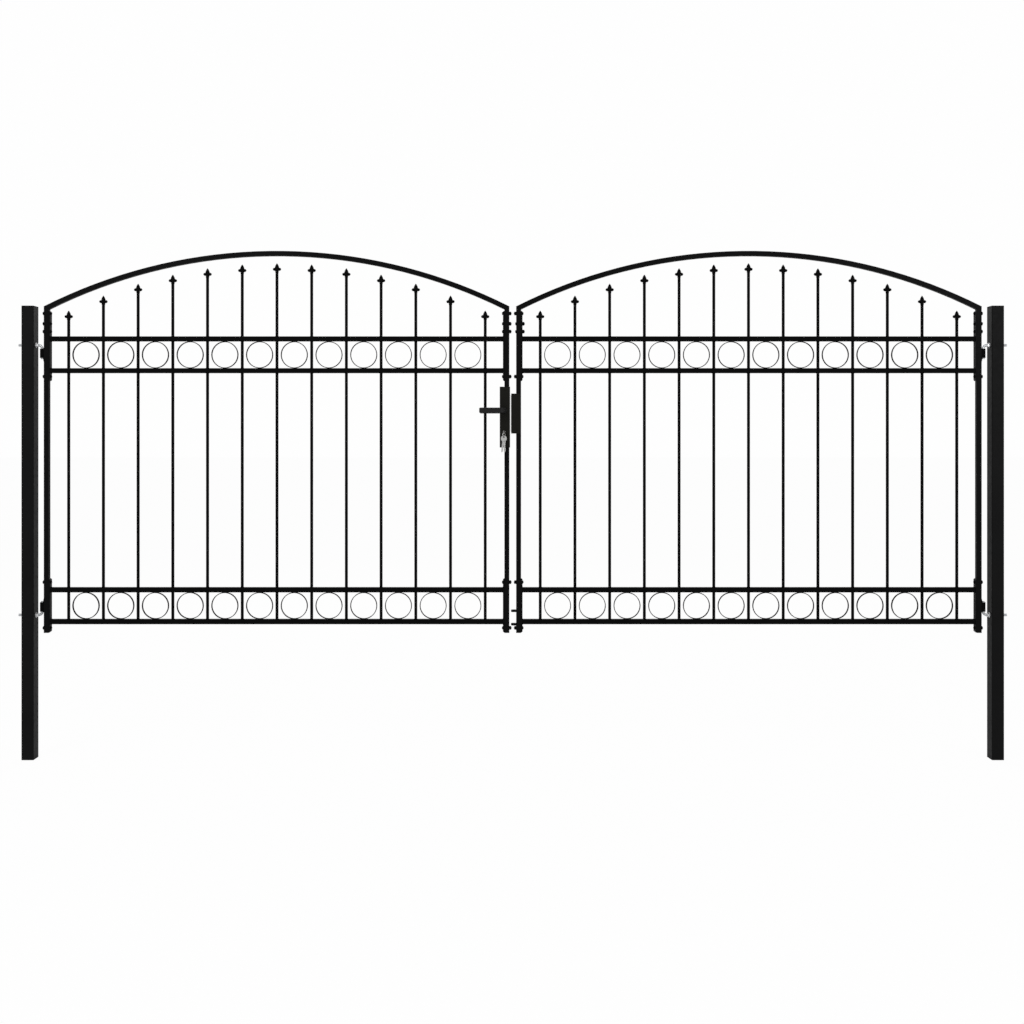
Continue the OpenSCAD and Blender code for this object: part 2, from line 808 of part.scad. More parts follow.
lock_cylinder();
keys();
front_lever();
back_lever();
lever_spindle();
on_right() lock_keep();
on_right() drop_bolt_guides();
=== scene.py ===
"""Looks of an arched double fence gate: black powder coat, zinc hinges, a nickel key bunch.

The frame gives every solid. This script dresses it, adds the fasteners, weld beads, threads and
lock fittings, and stands for the spear heads, the post caps and the keys with finer meshes.
All lengths are in metres. The origin is the middle of the left post's foot, +Y is the back.
"""

from __future__ import annotations

import logging
import math
from dataclasses import dataclass
from enum import Enum
from typing import Any, Sequence

import bmesh
import bpy
import numpy as np
from numpy.typing import NDArray
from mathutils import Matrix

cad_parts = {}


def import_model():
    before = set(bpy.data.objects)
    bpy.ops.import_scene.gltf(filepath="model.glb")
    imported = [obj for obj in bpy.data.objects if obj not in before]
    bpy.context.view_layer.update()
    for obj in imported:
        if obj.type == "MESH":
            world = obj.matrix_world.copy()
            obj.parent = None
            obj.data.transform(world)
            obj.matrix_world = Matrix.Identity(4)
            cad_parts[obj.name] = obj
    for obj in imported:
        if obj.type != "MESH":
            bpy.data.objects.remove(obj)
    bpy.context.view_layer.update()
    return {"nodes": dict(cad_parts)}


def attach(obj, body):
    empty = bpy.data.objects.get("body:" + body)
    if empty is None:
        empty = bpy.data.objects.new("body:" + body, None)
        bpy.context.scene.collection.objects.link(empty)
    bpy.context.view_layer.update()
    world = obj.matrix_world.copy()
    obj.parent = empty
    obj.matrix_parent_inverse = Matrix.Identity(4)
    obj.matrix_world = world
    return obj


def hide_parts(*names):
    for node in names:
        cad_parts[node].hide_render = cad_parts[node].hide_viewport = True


LOG = logging.getLogger("gate")
Array = NDArray[np.float64]
Colour = tuple[float, float, float, float]
Place = tuple[float, float, float]
Pairs = Sequence[tuple[float, float]]
Node = bpy.types.Node
Socket = bpy.types.NodeSocket
Tree = bpy.types.NodeTree

MM = 0.001
TURN = 2.0 * math.pi
QUARTER = TURN / 4.0
POST_PITCH = 3.950
LOCK_AXIS = 1.939
CYLINDER_HEIGHT = 1.333
X_WAY, Y_WAY, Z_WAY = np.eye(3)
BOTH_WAYS = np.array([-1.0, 1.0])
WHITE = (1.0, 1.0, 1.0, 1.0)


class Side(Enum):
    """A half of the gate: the left one as measured, the right one as its mirror image."""

    LEFT = "left"
    RIGHT = "right"

    @property
    def leaf(self) -> str:
        """The body that this half's leaf rides on."""
        return self.named("leaf")

    def named(self, what: str) -> str:
        """The name of a piece, a node or a body of this half."""
        return f"{self.value}_{what}"

    def place(self, points: Array) -> Array:
        """Points of the left half, or their mirror image about the gate's middle.

        Args:
            points: places on the left half, with the last axis as x, y, z.

        Returns:
            The same places on this half.
        """
        if self is Side.LEFT:
            return points
        return points * np.array([-1.0, 1.0, 1.0]) + POST_PITCH * X_WAY


class Facing(Enum):
    """Where a turned piece points: the matrix that turns +Z that way."""

    UP = ((1, 0, 0), (0, 1, 0), (0, 0, 1))
    ALONG = ((0, 0, 1), (0, 1, 0), (-1, 0, 0))
    BACKALONG = ((0, 0, -1), (0, 1, 0), (1, 0, 0))
    FRONT = ((1, 0, 0), (0, 0, -1), (0, 1, 0))
    BACK = ((1, 0, 0), (0, 0, 1), (0, -1, 0))

    def turn(self, points: Array) -> Array:
        """Points with their +Z turned this way."""
        return points @ np.array(self.value, dtype=float).T


# Surfaces


def points_at(x: Any, y: Any, z: Any) -> Array:
    """Points from three coordinates, each a number or an array, spread over a common shape."""
    return np.stack(np.broadcast_arrays(x, y, z), axis=-1)


def around(steps: int) -> Array:
    """Even angles in a full turn, without the end that meets the start."""
    return np.linspace(0.0, TURN, steps, endpoint=False)


def revolved(profile: Pairs | Array, steps: int, flats: float | None = None) -> Array:
    """A profile spun round +Z: (r cos a, r sin a, h) for each (r, h) and each angle a. With flats
    a hexagon cuts it: r is then at most flats / 2 / cos(b), where b is the angle from the middle
    of the nearest flat.

    Args:
        profile: radius and height pairs from one end to the other.
        steps: number of angles in the full turn, with flats a multiple of 12.
        flats: width across the flats, or None for a round piece.

    Returns:
        A grid of points, profile by angle.
    """
    radius, height = np.array(profile, dtype=float).T[..., None]
    angle = around(steps)
    if flats is not None:
        sixth = TURN / 6.0
        from_flat = np.mod(angle, sixth) - sixth / 2.0
        radius = np.minimum(radius, flats / 2.0 / np.cos(from_flat))
    return points_at(radius * np.cos(angle), radius * np.sin(angle), height)


def rounded_square(half: float | Array, corner: float | Array, steps: int) -> Array:
    """Square loops with round corners: each corner's centre lies half - corner from the axis
    both ways, and the loop runs round it at the corner's radius.

    Args:
        half: half the width of one loop or of each.
        corner: the corner radius of one loop or of each.
        steps: points in each corner.

    Returns:
        x, y points of one loop, or a grid of them, loop by place on the loop.
    """
    half, corner = (np.asarray(value)[..., None, None] for value in (half, corner))
    angle = (np.arange(4)[:, None] * QUARTER + np.linspace(0.0, QUARTER, steps)).ravel()
    signs = np.array([[1, 1], [-1, 1], [-1, -1], [1, -1]], dtype=float)
    centre = (half - corner) * np.repeat(signs, steps, axis=0)
    return centre + corner * np.stack([np.cos(angle), np.sin(angle)], axis=-1)


@dataclass(frozen=True)
class Bead:
    """A weld bead or a wire: its radius is radius (1 + swell cos(rate s)) at the place s."""

    radius: float
    swell: float = 0.0
    rate: float = 0.0
    steps: int = 8

    def size(self, place: Array) -> Array:
        """The bead's radius at each place along its path."""
        return self.radius * (1.0 + self.swell * np.cos(self.rate * place))

    def loop(self, path: Array, out: Array, off: Array, place: Array) -> Array:
        """The bead on a closed path: at each point a circle of the local size, spanned by the
        direction away from the path's middle and the direction off the path's plane.

        Args:
            path: points of the closed path.
            out: unit directions away from the path's middle, one per point.
            off: the unit direction off the path's plane.
            place: the place along the path, one per point.

        Returns:
            A grid of points, path by place round the bead.
        """
        angle = around(self.steps)[:, None]
        across = out[:, None, :] * np.cos(angle) + off * np.sin(angle)
        return path[:, None, :] + self.size(place)[:, None, None] * across


class MeshMaker:
    """Gathers grids of points and turns them into one mesh."""

    SAME_PLACE = 1e-7
    NO_LENGTH = 1e-8

    def __init__(self) -> None:
        """Starts with no points."""
        self._points: list[Array] = []
        self._faces: list[NDArray[np.int64]] = []
        self._count = 0

    def add(self, grid: Array, wrap_rows: bool = False) -> None:
        """Adds one grid, or a stack of like grids, as quads between neighbouring points. The last
        column joins the first one.

        Args:
            grid: points as (rows, columns, 3) or (copies, rows, columns, 3).
            wrap_rows: whether the last row joins the first one.
        """
        stack = grid[None] if grid.ndim == 3 else grid
        copies, rows, columns, _ = stack.shape
        index = np.arange(rows * columns).reshape(rows, columns)
        here = index if wrap_rows else index[:-1]
        down = np.roll(index, -1, axis=0)[: len(here)]
        corners = [here, down, np.roll(down, -1, axis=1), np.roll(here, -1, axis=1)]
        quads = np.stack(corners, axis=-1).reshape(1, -1, 4)
        starts = self._count + np.arange(copies)[:, None, None] * rows * columns
        self._points.append(stack.reshape(-1, 3))
        self._faces.append((quads + starts).reshape(-1, 4))
        self._count += copies * rows * columns

    def add_at(
        self, grid: Array, places: Array, facing: Facing = Facing.UP, side: Side = Side.LEFT,
        wrap_rows: bool = False,
    ) -> None:
        """Adds a copy of a grid at each place, turned one way, on one half of the gate.

        Args:
            grid: points of one copy about its own origin.
            places: origins of the copies, as (copies, 3), or one origin.
            facing: where the copies' +Z points.
            side: the half of the gate.
            wrap_rows: whether the last row joins the first one.
        """
        copies = facing.turn(grid) + np.atleast_2d(places)[:, None, None, :]
        self.add(side.place(copies), wrap_rows)

    def finish(
        self, name: str, body: str, finish: Finish, slot: str, sharp: float = 40.0
    ) -> bpy.types.Object:
        """Makes the mesh, closes its seams and poles, and lets it ride on a body.

        Args:
            name: name of the piece.
            body: CAD body that it rides on.
            finish: what it is coated with.
            slot: the record's material slot; not used.
            sharp: angle in degrees over which an edge stays sharp.

        Returns:
            The new object.
        """
        mesh = bpy.data.meshes.new(name)
        mesh.from_pydata(np.concatenate(self._points), [], np.concatenate(self._faces).tolist())
        edit = bmesh.new()
        edit.from_mesh(mesh)
        bmesh.ops.remove_doubles(edit, verts=edit.verts, dist=self.SAME_PLACE)
        bmesh.ops.dissolve_degenerate(edit, edges=edit.edges, dist=self.NO_LENGTH)
        bmesh.ops.recalc_face_normals(edit, faces=edit.faces)
        edit.to_mesh(mesh)
        edit.free()
        mesh.shade_smooth()
        mesh.set_sharp_from_angle(angle=math.radians(sharp))
        mesh.materials.append(finish.material())
        obj = bpy.data.objects.new(name, mesh)
        bpy.context.scene.collection.objects.link(obj)
        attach(obj, body)
        LOG.info("%s: %d faces on %s", name, len(mesh.polygons), body)
        return obj


# Shader nodes and groups

NOISE_MIDDLE = (0.3, 0.7)
COLOUR_FIRST, COLOUR_SECOND, COLOUR_OUT = 6, 7, 2


def add_node(
    tree: Tree, kind: str, links: dict[Any, Any] | None = None, **settings: Any
) -> Node:
    """Adds a node to a tree, sets its properties, and links or sets its inputs.

    Args:
        tree: the node tree.
        kind: the node's type.
        links: input names or numbers with the sockets or values that feed them.
        settings: properties of the node.

    Returns:
        The new node.
    """
    node = tree.nodes.new(kind)
    for label, value in settings.items():
        setattr(node, label, value)
    for label, value in (links or {}).items():
        if isinstance(value, Socket):
            tree.links.new(value, node.inputs[label])
        else:
            node.inputs[label].default_value = value
    return node


def spread(
    tree: Tree, source: Socket, low: float, high: float, span: tuple[float, float] = NOISE_MIDDLE
) -> Socket:
    """A value carried from one range to another and held at the ends.

    Args:
        tree: the node tree.
        source: the value, such as noise from 0 to 1.
        low: what the span's start becomes.
        high: what the span's end becomes.
        span: start and end of the range that is spread.

    Returns:
        The output socket.
    """
    ends = {"From Min": span[0], "From Max": span[1], "To Min": low, "To Max": high}
    return add_node(tree, "ShaderNodeMapRange", {"Value": source, **ends}).outputs["Result"]


def combine(tree: Tree, operation: str, first: Any, second: Any, clamp: bool = False) -> Socket:
    """The sum or product of two values.

    Args:
        tree: the node tree.
        operation: ADD or MULTIPLY.
        first: a socket or a number.
        second: a socket or a number.
        clamp: whether the result is held between 0 and 1.

    Returns:
        The output socket.
    """
    links = {0: first, 1: second}
    return add_node(tree, "ShaderNodeMath", links, operation=operation, use_clamp=clamp).outputs[0]


def blend_colour(tree: Tree, factor: Socket, first: Any, second: Any) -> Socket:
    """A mix of two colours.

    Args:
        tree: the node tree.
        factor: how much of the second colour.
        first: colour or socket where the factor is 0.
        second: colour or socket where the factor is 1.

    Returns:
        The output socket.
    """
    links = {"Factor": factor, COLOUR_FIRST: first, COLOUR_SECOND: second}
    return add_node(tree, "ShaderNodeMix", links, data_type="RGBA").outputs[COLOUR_OUT]


class Group:
    """A shader group that several finishes share, fed by object coordinates. Each kind names its
    sockets and fills itself."""

    name: str
    inputs: dict[str, float]
    outputs: tuple[str, ...]

    def __init__(self) -> None:
        """Takes the group that was built before, or builds it."""
        kept = bpy.data.node_groups.get(self.name)
        self.tree = kept or bpy.data.node_groups.new(self.name, "ShaderNodeTree")
        if not kept:
            self._build()

    def _build(self) -> None:
        """Makes the sockets, and links what fills the group to its outputs."""
        face = self.tree.interface
        for label, value in self.inputs.items():
            socket = face.new_socket(label, in_out="INPUT", socket_type="NodeSocketFloat")
            socket.default_value = value
        for label in self.outputs:
            face.new_socket(label, in_out="OUTPUT", socket_type="NodeSocketFloat")
        self.given = self.tree.nodes.new("NodeGroupInput").outputs
        end = self.tree.nodes.new("NodeGroupOutput")
        self.place = add_node(self.tree, "ShaderNodeTexCoord").outputs["Object"]
        for label, socket in zip(self.outputs, self._fill()):
            self.tree.links.new(socket, end.inputs[label])

    def _fill(self) -> tuple[Socket, ...]:
        """The sockets that feed the outputs, in their order; each group has its own way."""
        raise NotImplementedError

    def noise(
        self, scale: Any, detail: float, roughness: float, place: Socket | None = None
    ) -> Socket:
        """Noise from 0 to 1.

        Args:
            scale: how fast it changes per metre, a number or a socket.
            detail: number of finer layers.
            roughness: how strong the finer layers are.
            place: where it is read, or None for the object coordinates.

        Returns:
            The output socket.
        """
        links = {
            "Vector": place or self.place, "Scale": scale, "Detail": detail, "Roughness": roughness,
        }
        return add_node(self.tree, "ShaderNodeTexNoise", links).outputs["Fac"]

    def vector(self, operation: str, first: Socket, second: Socket) -> Node:
        """A node that works on two vectors."""
        links = {0: first, 1: second}
        return add_node(self.tree, "ShaderNodeVectorMath", links, operation=operation)

    def dress(self, tree: Tree, **values: float) -> Any:
        """Puts this group into a material.

        Args:
            tree: the material's tree.
            values: values of the group's inputs, with _ for each blank.

        Returns:
            The group node's outputs.
        """
        links = {label.replace("_", " "): value for label, value in values.items()}
        return add_node(tree, "ShaderNodeGroup", links, node_tree=self.tree).outputs


class SurfaceSkin(Group):
    """The skin of a sprayed or moulded surface: fine peel for the bump, slow clouds for the tone
    and patches for the roughness. Peel and Cloud are noise scales per metre."""

    name = "surface_skin"
    inputs = {"Peel": 900.0, "Cloud": 9.0}
    outputs = ("Height", "Tone", "Patch")
    patches_in_cloud = 7.0

    def _fill(self) -> tuple[Socket, ...]:
        """Three noises, the patches some times finer than the clouds.

        Returns:
            The sockets for Height, Tone and Patch.
        """
        cloud = self.given["Cloud"]
        finer = combine(self.tree, "MULTIPLY", cloud, self.patches_in_cloud)
        return (
            self.noise(self.given["Peel"], detail=2.0, roughness=0.45),
            self.noise(cloud, detail=4.0, roughness=0.6),
            self.noise(finer, detail=3.0, roughness=0.55),
        )


class EdgeWearAndHighlight(Group):
    """Lighter edges, partly rubbed wear and partly a painted highlight: one less the agreement of
    the face's normal with the normal that a small rounding would have, broken up by noise. Reach is
    the rounding's radius."""

    name = "edge_wear_and_highlight"
    inputs = {"Reach": 1.2 * MM}
    outputs = ("Mask",)
    agreement = (0.98, 0.78)
    chip_scale = 60.0
    chips_middle = (0.35, 0.65)
    least_chip = 0.35

    def _fill(self) -> tuple[Socket, ...]:
        """The bent share of the normal times the chips.

        Returns:
            The socket for Mask.
        """
        rounded = add_node(self.tree, "ShaderNodeBevel", {"Radius": self.given["Reach"]}, samples=4)
        flat = add_node(self.tree, "ShaderNodeNewGeometry").outputs["Normal"]
        agree = self.vector("DOT_PRODUCT", rounded.outputs["Normal"], flat).outputs["Value"]
        bent = spread(self.tree, agree, 0.0, 1.0, self.agreement)
        chips = self.noise(self.chip_scale, detail=3.0, roughness=0.5)
        chips = spread(self.tree, chips, self.least_chip, 1.0, self.chips_middle)
        return (combine(self.tree, "MULTIPLY", bent, chips),)


class DrawLines(Group):
    """Drawing marks of a plated bar or a milled plate: noise that is stretched along one axis,
    with a slow mottle beside it. The inputs say how fast the marks change each way."""

    name = "draw_lines"
    inputs = {"Along X": 1.0, "Along Y": 1.0, "Along Z": 1.0}
    outputs = ("Line", "Mottle")
    line_scale = 1800.0
    mottle_scale = 140.0

    def _fill(self) -> tuple[Socket, ...]:
        """Fine noise at the place times the rates, and slow noise at the place.

        Returns:
            The sockets for Line and Mottle.
        """
        links = {axis: self.given[f"Along {axis}"] for axis in "XYZ"}
        rates = add_node(self.tree, "ShaderNodeCombineXYZ", links).outputs["Vector"]
        stretched = self.vector("MULTIPLY", self.place, rates).outputs["Vector"]
        return (
            self.noise(self.line_scale, detail=2.0, roughness=0.5, place=stretched),
            self.noise(self.mottle_scale, detail=4.0, roughness=0.6),
        )


# Finishes


@dataclass(frozen=True, kw_only=True)
class Finish:
    """What a surface is finished with: two tones, a range of roughness and a fine bump. Each
    finish makes its material once."""

    name: str
    tones: tuple[Colour, Colour]
    rough: tuple[float, float]
    bump: float
    bump_depth: float

    def material(self) -> bpy.types.Material:
        """This finish's material, built when first asked for.

        Returns:
            The material.
        """
        kept = bpy.data.materials.get(self.name)
        if kept:
            return kept
        made = bpy.data.materials.new(self.name)
        made.use_nodes = True
        self._build(made.node_tree, made.node_tree.nodes["Principled BSDF"].inputs)
        return made

    def _build(self, tree: Tree, shader: Any) -> None:
        """Sets up the nodes; each kind of finish has its own way."""
        raise NotImplementedError

    def _tone(self, tree: Tree, noise: Socket) -> Socket:
        """The two tones mixed by noise."""
        return blend_colour(tree, spread(tree, noise, 0.0, 1.0), *self.tones)

    def _feed(
        self, tree: Tree, shader: Any, colour: Socket, patch: Socket, height: Socket
    ) -> None:
        """Links the shader's colour, roughness and normal.

        Args:
            tree: the material's tree.
            shader: the shader's inputs.
            colour: the base colour.
            patch: noise that the roughness follows.
            height: noise that the bump follows.
        """
        links = {"Height": height, "Strength": self.bump, "Distance": self.bump_depth}
        bump = add_node(tree, "ShaderNodeBump", links)
        tree.links.new(colour, shader["Base Color"])
        tree.links.new(spread(tree, patch, *self.rough), shader["Roughness"])
        tree.links.new(bump.outputs["Normal"], shader["Normal"])


@dataclass(frozen=True, kw_only=True)
class Coat(Finish):
    """A sprayed or moulded black skin with peel, slow clouds of tone, and edges lightened partly as
    rubbed wear and partly as painted highlight.
    """

    # edge is the colour painted on the edges: partly rubbed wear, partly painted highlight
    edge: Colour
    specular: float
    peel: float
    edge_reach: float = 1.2 * MM

    def _build(self, tree: Tree, shader: Any) -> None:
        """Tone and the lighter edges (rubbed wear and painted highlight) feed the colour, patches
        the roughness and peel the bump.

        Args:
            tree: the material's tree.
            shader: the shader's inputs.
        """
        skin = SurfaceSkin().dress(tree, Peel=self.peel)
        wear_and_highlight = EdgeWearAndHighlight().dress(tree, Reach=self.edge_reach)["Mask"]
        # Blends in the edge colour: rubbed wear and a painted highlight on the edges.
        colour = blend_colour(tree, wear_and_highlight, self._tone(tree, skin["Tone"]), self.edge)
        self._feed(tree, shader, colour, skin["Patch"], skin["Height"])
        shader["Specular IOR Level"].default_value = self.specular


@dataclass(frozen=True, kw_only=True)
class Plate(Finish):
    """A bright metal plating with drawing marks along one axis and a slow mottle."""

    rates: tuple[float, float, float]
    bump_depth: float = 0.05 * MM

    def _build(self, tree: Tree, shader: Any) -> None:
        """Mottle feeds the colour, lines the roughness and the bump.

        Args:
            tree: the material's tree.
            shader: the shader's inputs.
        """
        along_x, along_y, along_z = self.rates
        marks = DrawLines().dress(tree, Along_X=along_x, Along_Y=along_y, Along_Z=along_z)
        colour = self._tone(tree, marks["Mottle"])
        self._feed(tree, shader, colour, marks["Line"], marks["Line"])
        shader["Metallic"].default_value = 1.0


# Each coat's edge colour is painted on its edges, partly as rubbed wear and partly as a painted
# highlight; the wider edge_reach of the frame and post coats widens that painted highlight along
# their corners.
POWDER = Coat(
    name="black_powder_coat", tones=((0.0026, 0.0026, 0.0027, 1), (0.0040, 0.0040, 0.0041, 1)),
    edge=(0.007, 0.007, 0.007, 1), rough=(0.40, 0.54), specular=0.012,
    peel=1100.0, bump=0.25, bump_depth=0.12 * MM,
)
FRAME_COAT = Coat(
    name="frame_powder_coat", tones=((0.0026, 0.0026, 0.0027, 1), (0.0042, 0.0042, 0.0043, 1)),
    edge=(0.010, 0.010, 0.010, 1), rough=(0.38, 0.52), specular=0.034,
    peel=1050.0, bump=0.25, bump_depth=0.12 * MM, edge_reach=2.0 * MM,
)
POST_COAT = Coat(
    name="post_powder_coat", tones=((0.0044, 0.0044, 0.0045, 1), (0.0060, 0.0060, 0.0061, 1)),
    edge=(0.012, 0.012, 0.012, 1), rough=(0.38, 0.52), specular=0.045,
    peel=1000.0, bump=0.25, bump_depth=0.12 * MM, edge_reach=3.0 * MM,
)
CAST = Coat(
    name="coated_casting", tones=((0.0024, 0.0024, 0.0025, 1), (0.0038, 0.0038, 0.0038, 1)),
    edge=(0.006, 0.006, 0.006, 1), rough=(0.44, 0.60), specular=0.012,
    peel=620.0, bump=0.45, bump_depth=0.22 * MM,
)
LOCK_COAT = Coat(
    name="lock_coat", tones=((0.0082, 0.0081, 0.0070, 1), (0.0108, 0.0106, 0.0090, 1)),
    edge=(0.014, 0.014, 0.012, 1), rough=(0.36, 0.48), specular=0.03,
    peel=1500.0, bump=0.20, bump_depth=0.10 * MM,
)
LEVER_COAT = Coat(
    name="lever_coat", tones=((0.0100, 0.0100, 0.0100, 1), (0.0130, 0.0130, 0.0130, 1)),
    edge=(0.018, 0.018, 0.018, 1), rough=(0.30, 0.42), specular=0.10,
    peel=1700.0, bump=0.15, bump_depth=0.08 * MM,
)
CAP_PLASTIC = Coat(
    name="cap_plastic", tones=((0.0060, 0.0060, 0.0062, 1), (0.0085, 0.0085, 0.0087, 1)),
    edge=(0.009, 0.009, 0.009, 1), rough=(0.50, 0.64), specular=0.02,
    peel=2600.0, bump=0.45, bump_depth=0.10 * MM,
)
ZINC = Plate(
    name="zinc_plate", tones=((0.47, 0.48, 0.49, 1), (0.36, 0.37, 0.385, 1)),
    rough=(0.32, 0.48), rates=(0.12, 1.0, 1.0), bump=0.30,
)
# The pintle nuts' zinc: the same plating, smoother, with a lighter colour that paints their
# highlight.
ZINC_WITH_PAINTED_HIGHLIGHT = Plate(
    name="zinc_with_painted_highlight", tones=((0.80, 0.80, 0.80, 1), (0.64, 0.65, 0.66, 1)),
    rough=(0.24, 0.38), rates=(1.0, 1.0, 1.0), bump=0.25,
)
STEEL_PLATE = Plate(
    name="milled_steel", tones=((0.56, 0.56, 0.55, 1), (0.42, 0.42, 0.41, 1)),
    rough=(0.28, 0.44), rates=(1.0, 1.0, 0.05), bump=0.35,
)
DARK_NICKEL = Plate(
    name="dark_nickel", tones=((0.050, 0.048, 0.044, 1), (0.030, 0.029, 0.027, 1)),
    rough=(0.30, 0.44), rates=(1.0, 1.0, 0.2), bump=0.25,
)
NICKEL = Plate(
    name="bright_nickel", tones=((0.51, 0.51, 0.50, 1), (0.37, 0.37, 0.365, 1)),
    rough=(0.18, 0.32), rates=(1.0, 1.0, 0.2), bump=0.25,
)


# Pieces of the leaves


@dataclass(frozen=True)
class Bolt:
    """A bolt of the leaves, about the face that it stands on."""

    washer_radius: float = 8.0 * MM
    washer: float = 1.4 * MM
    washer_wall_share: float = 0.7
    washer_edge: float = 0.4 * MM
    flats: float = 13.0 * MM
    nut_height: float = 6.2 * MM
    nut_chamfer: float = 0.9 * MM
    nut_face_share: float = 0.47
    shank: float = 3.9 * MM
    end: float = 1.6 * MM
    end_chamfer: float = 0.7 * MM
    head_radius: float = 6.6 * MM
    head_height: float = 4.2 * MM
    head_rim: float = 0.8 * MM
    head_power: float = 0.8

    def nut(self) -> list[Array]:
        """Spun grids along +Z from the face, the nut's cut by a hexagon.

        Returns:
            The washer, the nut and the bolt's end, each closed at its poles.
        """
        low, high = self.washer, self.washer + self.nut_height
        tip = high + self.end
        wide, face = self.washer_radius, self.flats * self.nut_face_share
        corner = self.flats / 2.0 / math.cos(TURN / 12.0)
        washer = [
            (0.0, 0.0), (wide, 0.0), (wide, low * self.washer_wall_share),
            (wide - self.washer_edge, low), (0.0, low),
        ]
        nut = [
            (0.0, low), (face, low), (corner, low + self.nut_chamfer),
            (corner, high - self.nut_chamfer), (face, high), (0.0, high),
        ]
        end = [
            (0.0, low), (self.shank, low), (self.shank, tip - self.end_chamfer),
            (self.shank - self.end_chamfer, tip), (0.0, tip),
        ]
        return [
            revolved(washer, steps=24), revolved(nut, steps=36, flats=self.flats),
            revolved(end, steps=16),
        ]

    def head(self) -> list[Array]:
        """The domed head along +Z from the face: over a low rim the height goes with the sine and
        the radius with a power of the cosine of a quarter turn.

        Returns:
            One grid, closed at its poles.
        """
        angle = np.linspace(0.0, 1.0, 7) * QUARTER
        radius = self.head_radius * np.cos(angle) ** self.head_power
        height = self.head_rim + (self.head_height - self.head_rim) * np.sin(angle)
        foot = np.array([(0.0, 0.0), (self.head_radius, 0.0)])
        dome = np.stack([radius, height], axis=-1)
        return [revolved(np.concatenate([foot, dome]), steps=20)]


@dataclass(frozen=True)
class SpearHead:
    """A cast spear head about its picket's top: neck, knob, leaf-shaped bud and two side lobes.

    The flare's pairs are shares of the way from the neck's radius to the knob's, and heights. The
    crown's pairs are shares of the knob's radius, and heights.
    """

    height: float = 35.0 * MM
    width: float = 34.0 * MM
    socket: float = 4.0 * MM
    socket_radius: float = 6.15 * MM
    socket_rim: tuple[float, float] = (0.3 * MM, 0.4 * MM)
    neck_radius: float = 6.85 * MM
    knob_radius: float = 7.85 * MM
    knob_height: float = 9.6 * MM
    flare_shares: Pairs = (
        (0.0, -0.3 * MM), (0.2, 1.6 * MM), (0.45, 3.9 * MM), (0.85, 6.4 * MM), (1.0, 8.6 * MM),
    )
    crown_shares: Pairs = (
        (0.98, 9.6 * MM), (0.9, 13.2 * MM), (0.66, 15.8 * MM), (0.0, 16.8 * MM),
    )
    bud_half: float = 9.6 * MM
    bud_flatness: float = 0.76
    bud_power: float = 2.4
    bud_pinch: float = 0.3
    bud_sink: float = 1.5 * MM
    bud_start_share: float = 0.04
    lobe_half: float = 6.4 * MM
    lobe_flatness: float = 0.8
    lobe_rise: float = 0.6 * MM
    lobe_start_share: float = 0.05
    lobe_root_share: float = 0.85
    lobe_full_share: float = 0.55

    def build(self, leaf: Leaf) -> None:
        """Makes the heads of one leaf; they stand for its spear head node.

        Args:
            leaf: the leaf that carries them.
        """
        places = points_at(leaf.pickets, 0.0, leaf.tips() - self.height)
        maker = MeshMaker()
        for grid in (self._stem(), self._bud(), *map(self._lobe, BOTH_WAYS)):
            maker.add_at(grid, places, Facing.UP, leaf.side)
        heads = maker.finish(
            leaf.side.named("cast_heads"), leaf.side.leaf, CAST, "black_coat", sharp=60.0
        )
        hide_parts(leaf.side.named("spear_heads"))

    def _stem(self) -> Array:
        """Neck and knob: one profile spun round the picket's axis, widening to the knob.

        Returns:
            A grid of points, profile by angle.
        """
        neck, knob, socket = self.neck_radius, self.knob_radius, self.socket_radius
        inset, rise = self.socket_rim
        profile = [
            (0.0, 0.0), (socket, 0.0), (socket, -self.socket),
            (neck - inset, -self.socket), (neck, rise - self.socket),
        ]
        profile += [(neck + share * (knob - neck), height) for share, height in self.flare_shares]
        profile += [(knob * share, height) for share, height in self.crown_shares]
        return revolved(profile, steps=20)

    def _bud(self) -> Array:
        """The pointed bud: half width w(u) = W (1 - u^power), widest at its root in the knob, on a
        diamond-like section (w cos|cos|^pinch, flatness w sin|sin|^pinch).

        Returns:
            A grid of points, height by section.
        """
        u = np.linspace(self.bud_start_share, 1.0, 17)[:, None]
        half = self.bud_half * (1.0 - u**self.bud_power)
        across, deep = (
            half * wave * np.abs(wave) ** self.bud_pinch
            for wave in (np.cos(around(20)), np.sin(around(20)))
        )
        low = self.knob_height - self.bud_sink
        return points_at(across, self.bud_flatness * deep, low + (self.height - low) * u)

    def _lobe(self, way: float) -> Array:
        """A side lobe: its half height grows from a share of H to H at just over half of its length
        and then closes along a quarter of an ellipse; its middle line rises a little.

        Args:
            way: -1 for the lobe towards -X, 1 for the other.

        Returns:
            A grid of points, path by section.
        """
        u = np.sin(np.linspace(self.lobe_start_share, 1.0, 13) * QUARTER)[:, None]
        angle = around(14)
        full, root = self.lobe_full_share, self.lobe_root_share
        closing = np.sqrt(np.clip(1.0 - (np.maximum(u - full, 0.0) / (1.0 - full)) ** 2, 0.0, 1.0))
        half = self.lobe_half * np.where(u < full, root + (1.0 - root) * (u / full) ** 2, closing)
        z = self.knob_height + self.lobe_rise * u**2 + half * np.cos(angle)
        return points_at(way * self.width / 2.0 * u, self.lobe_flatness * half * np.sin(angle), z)


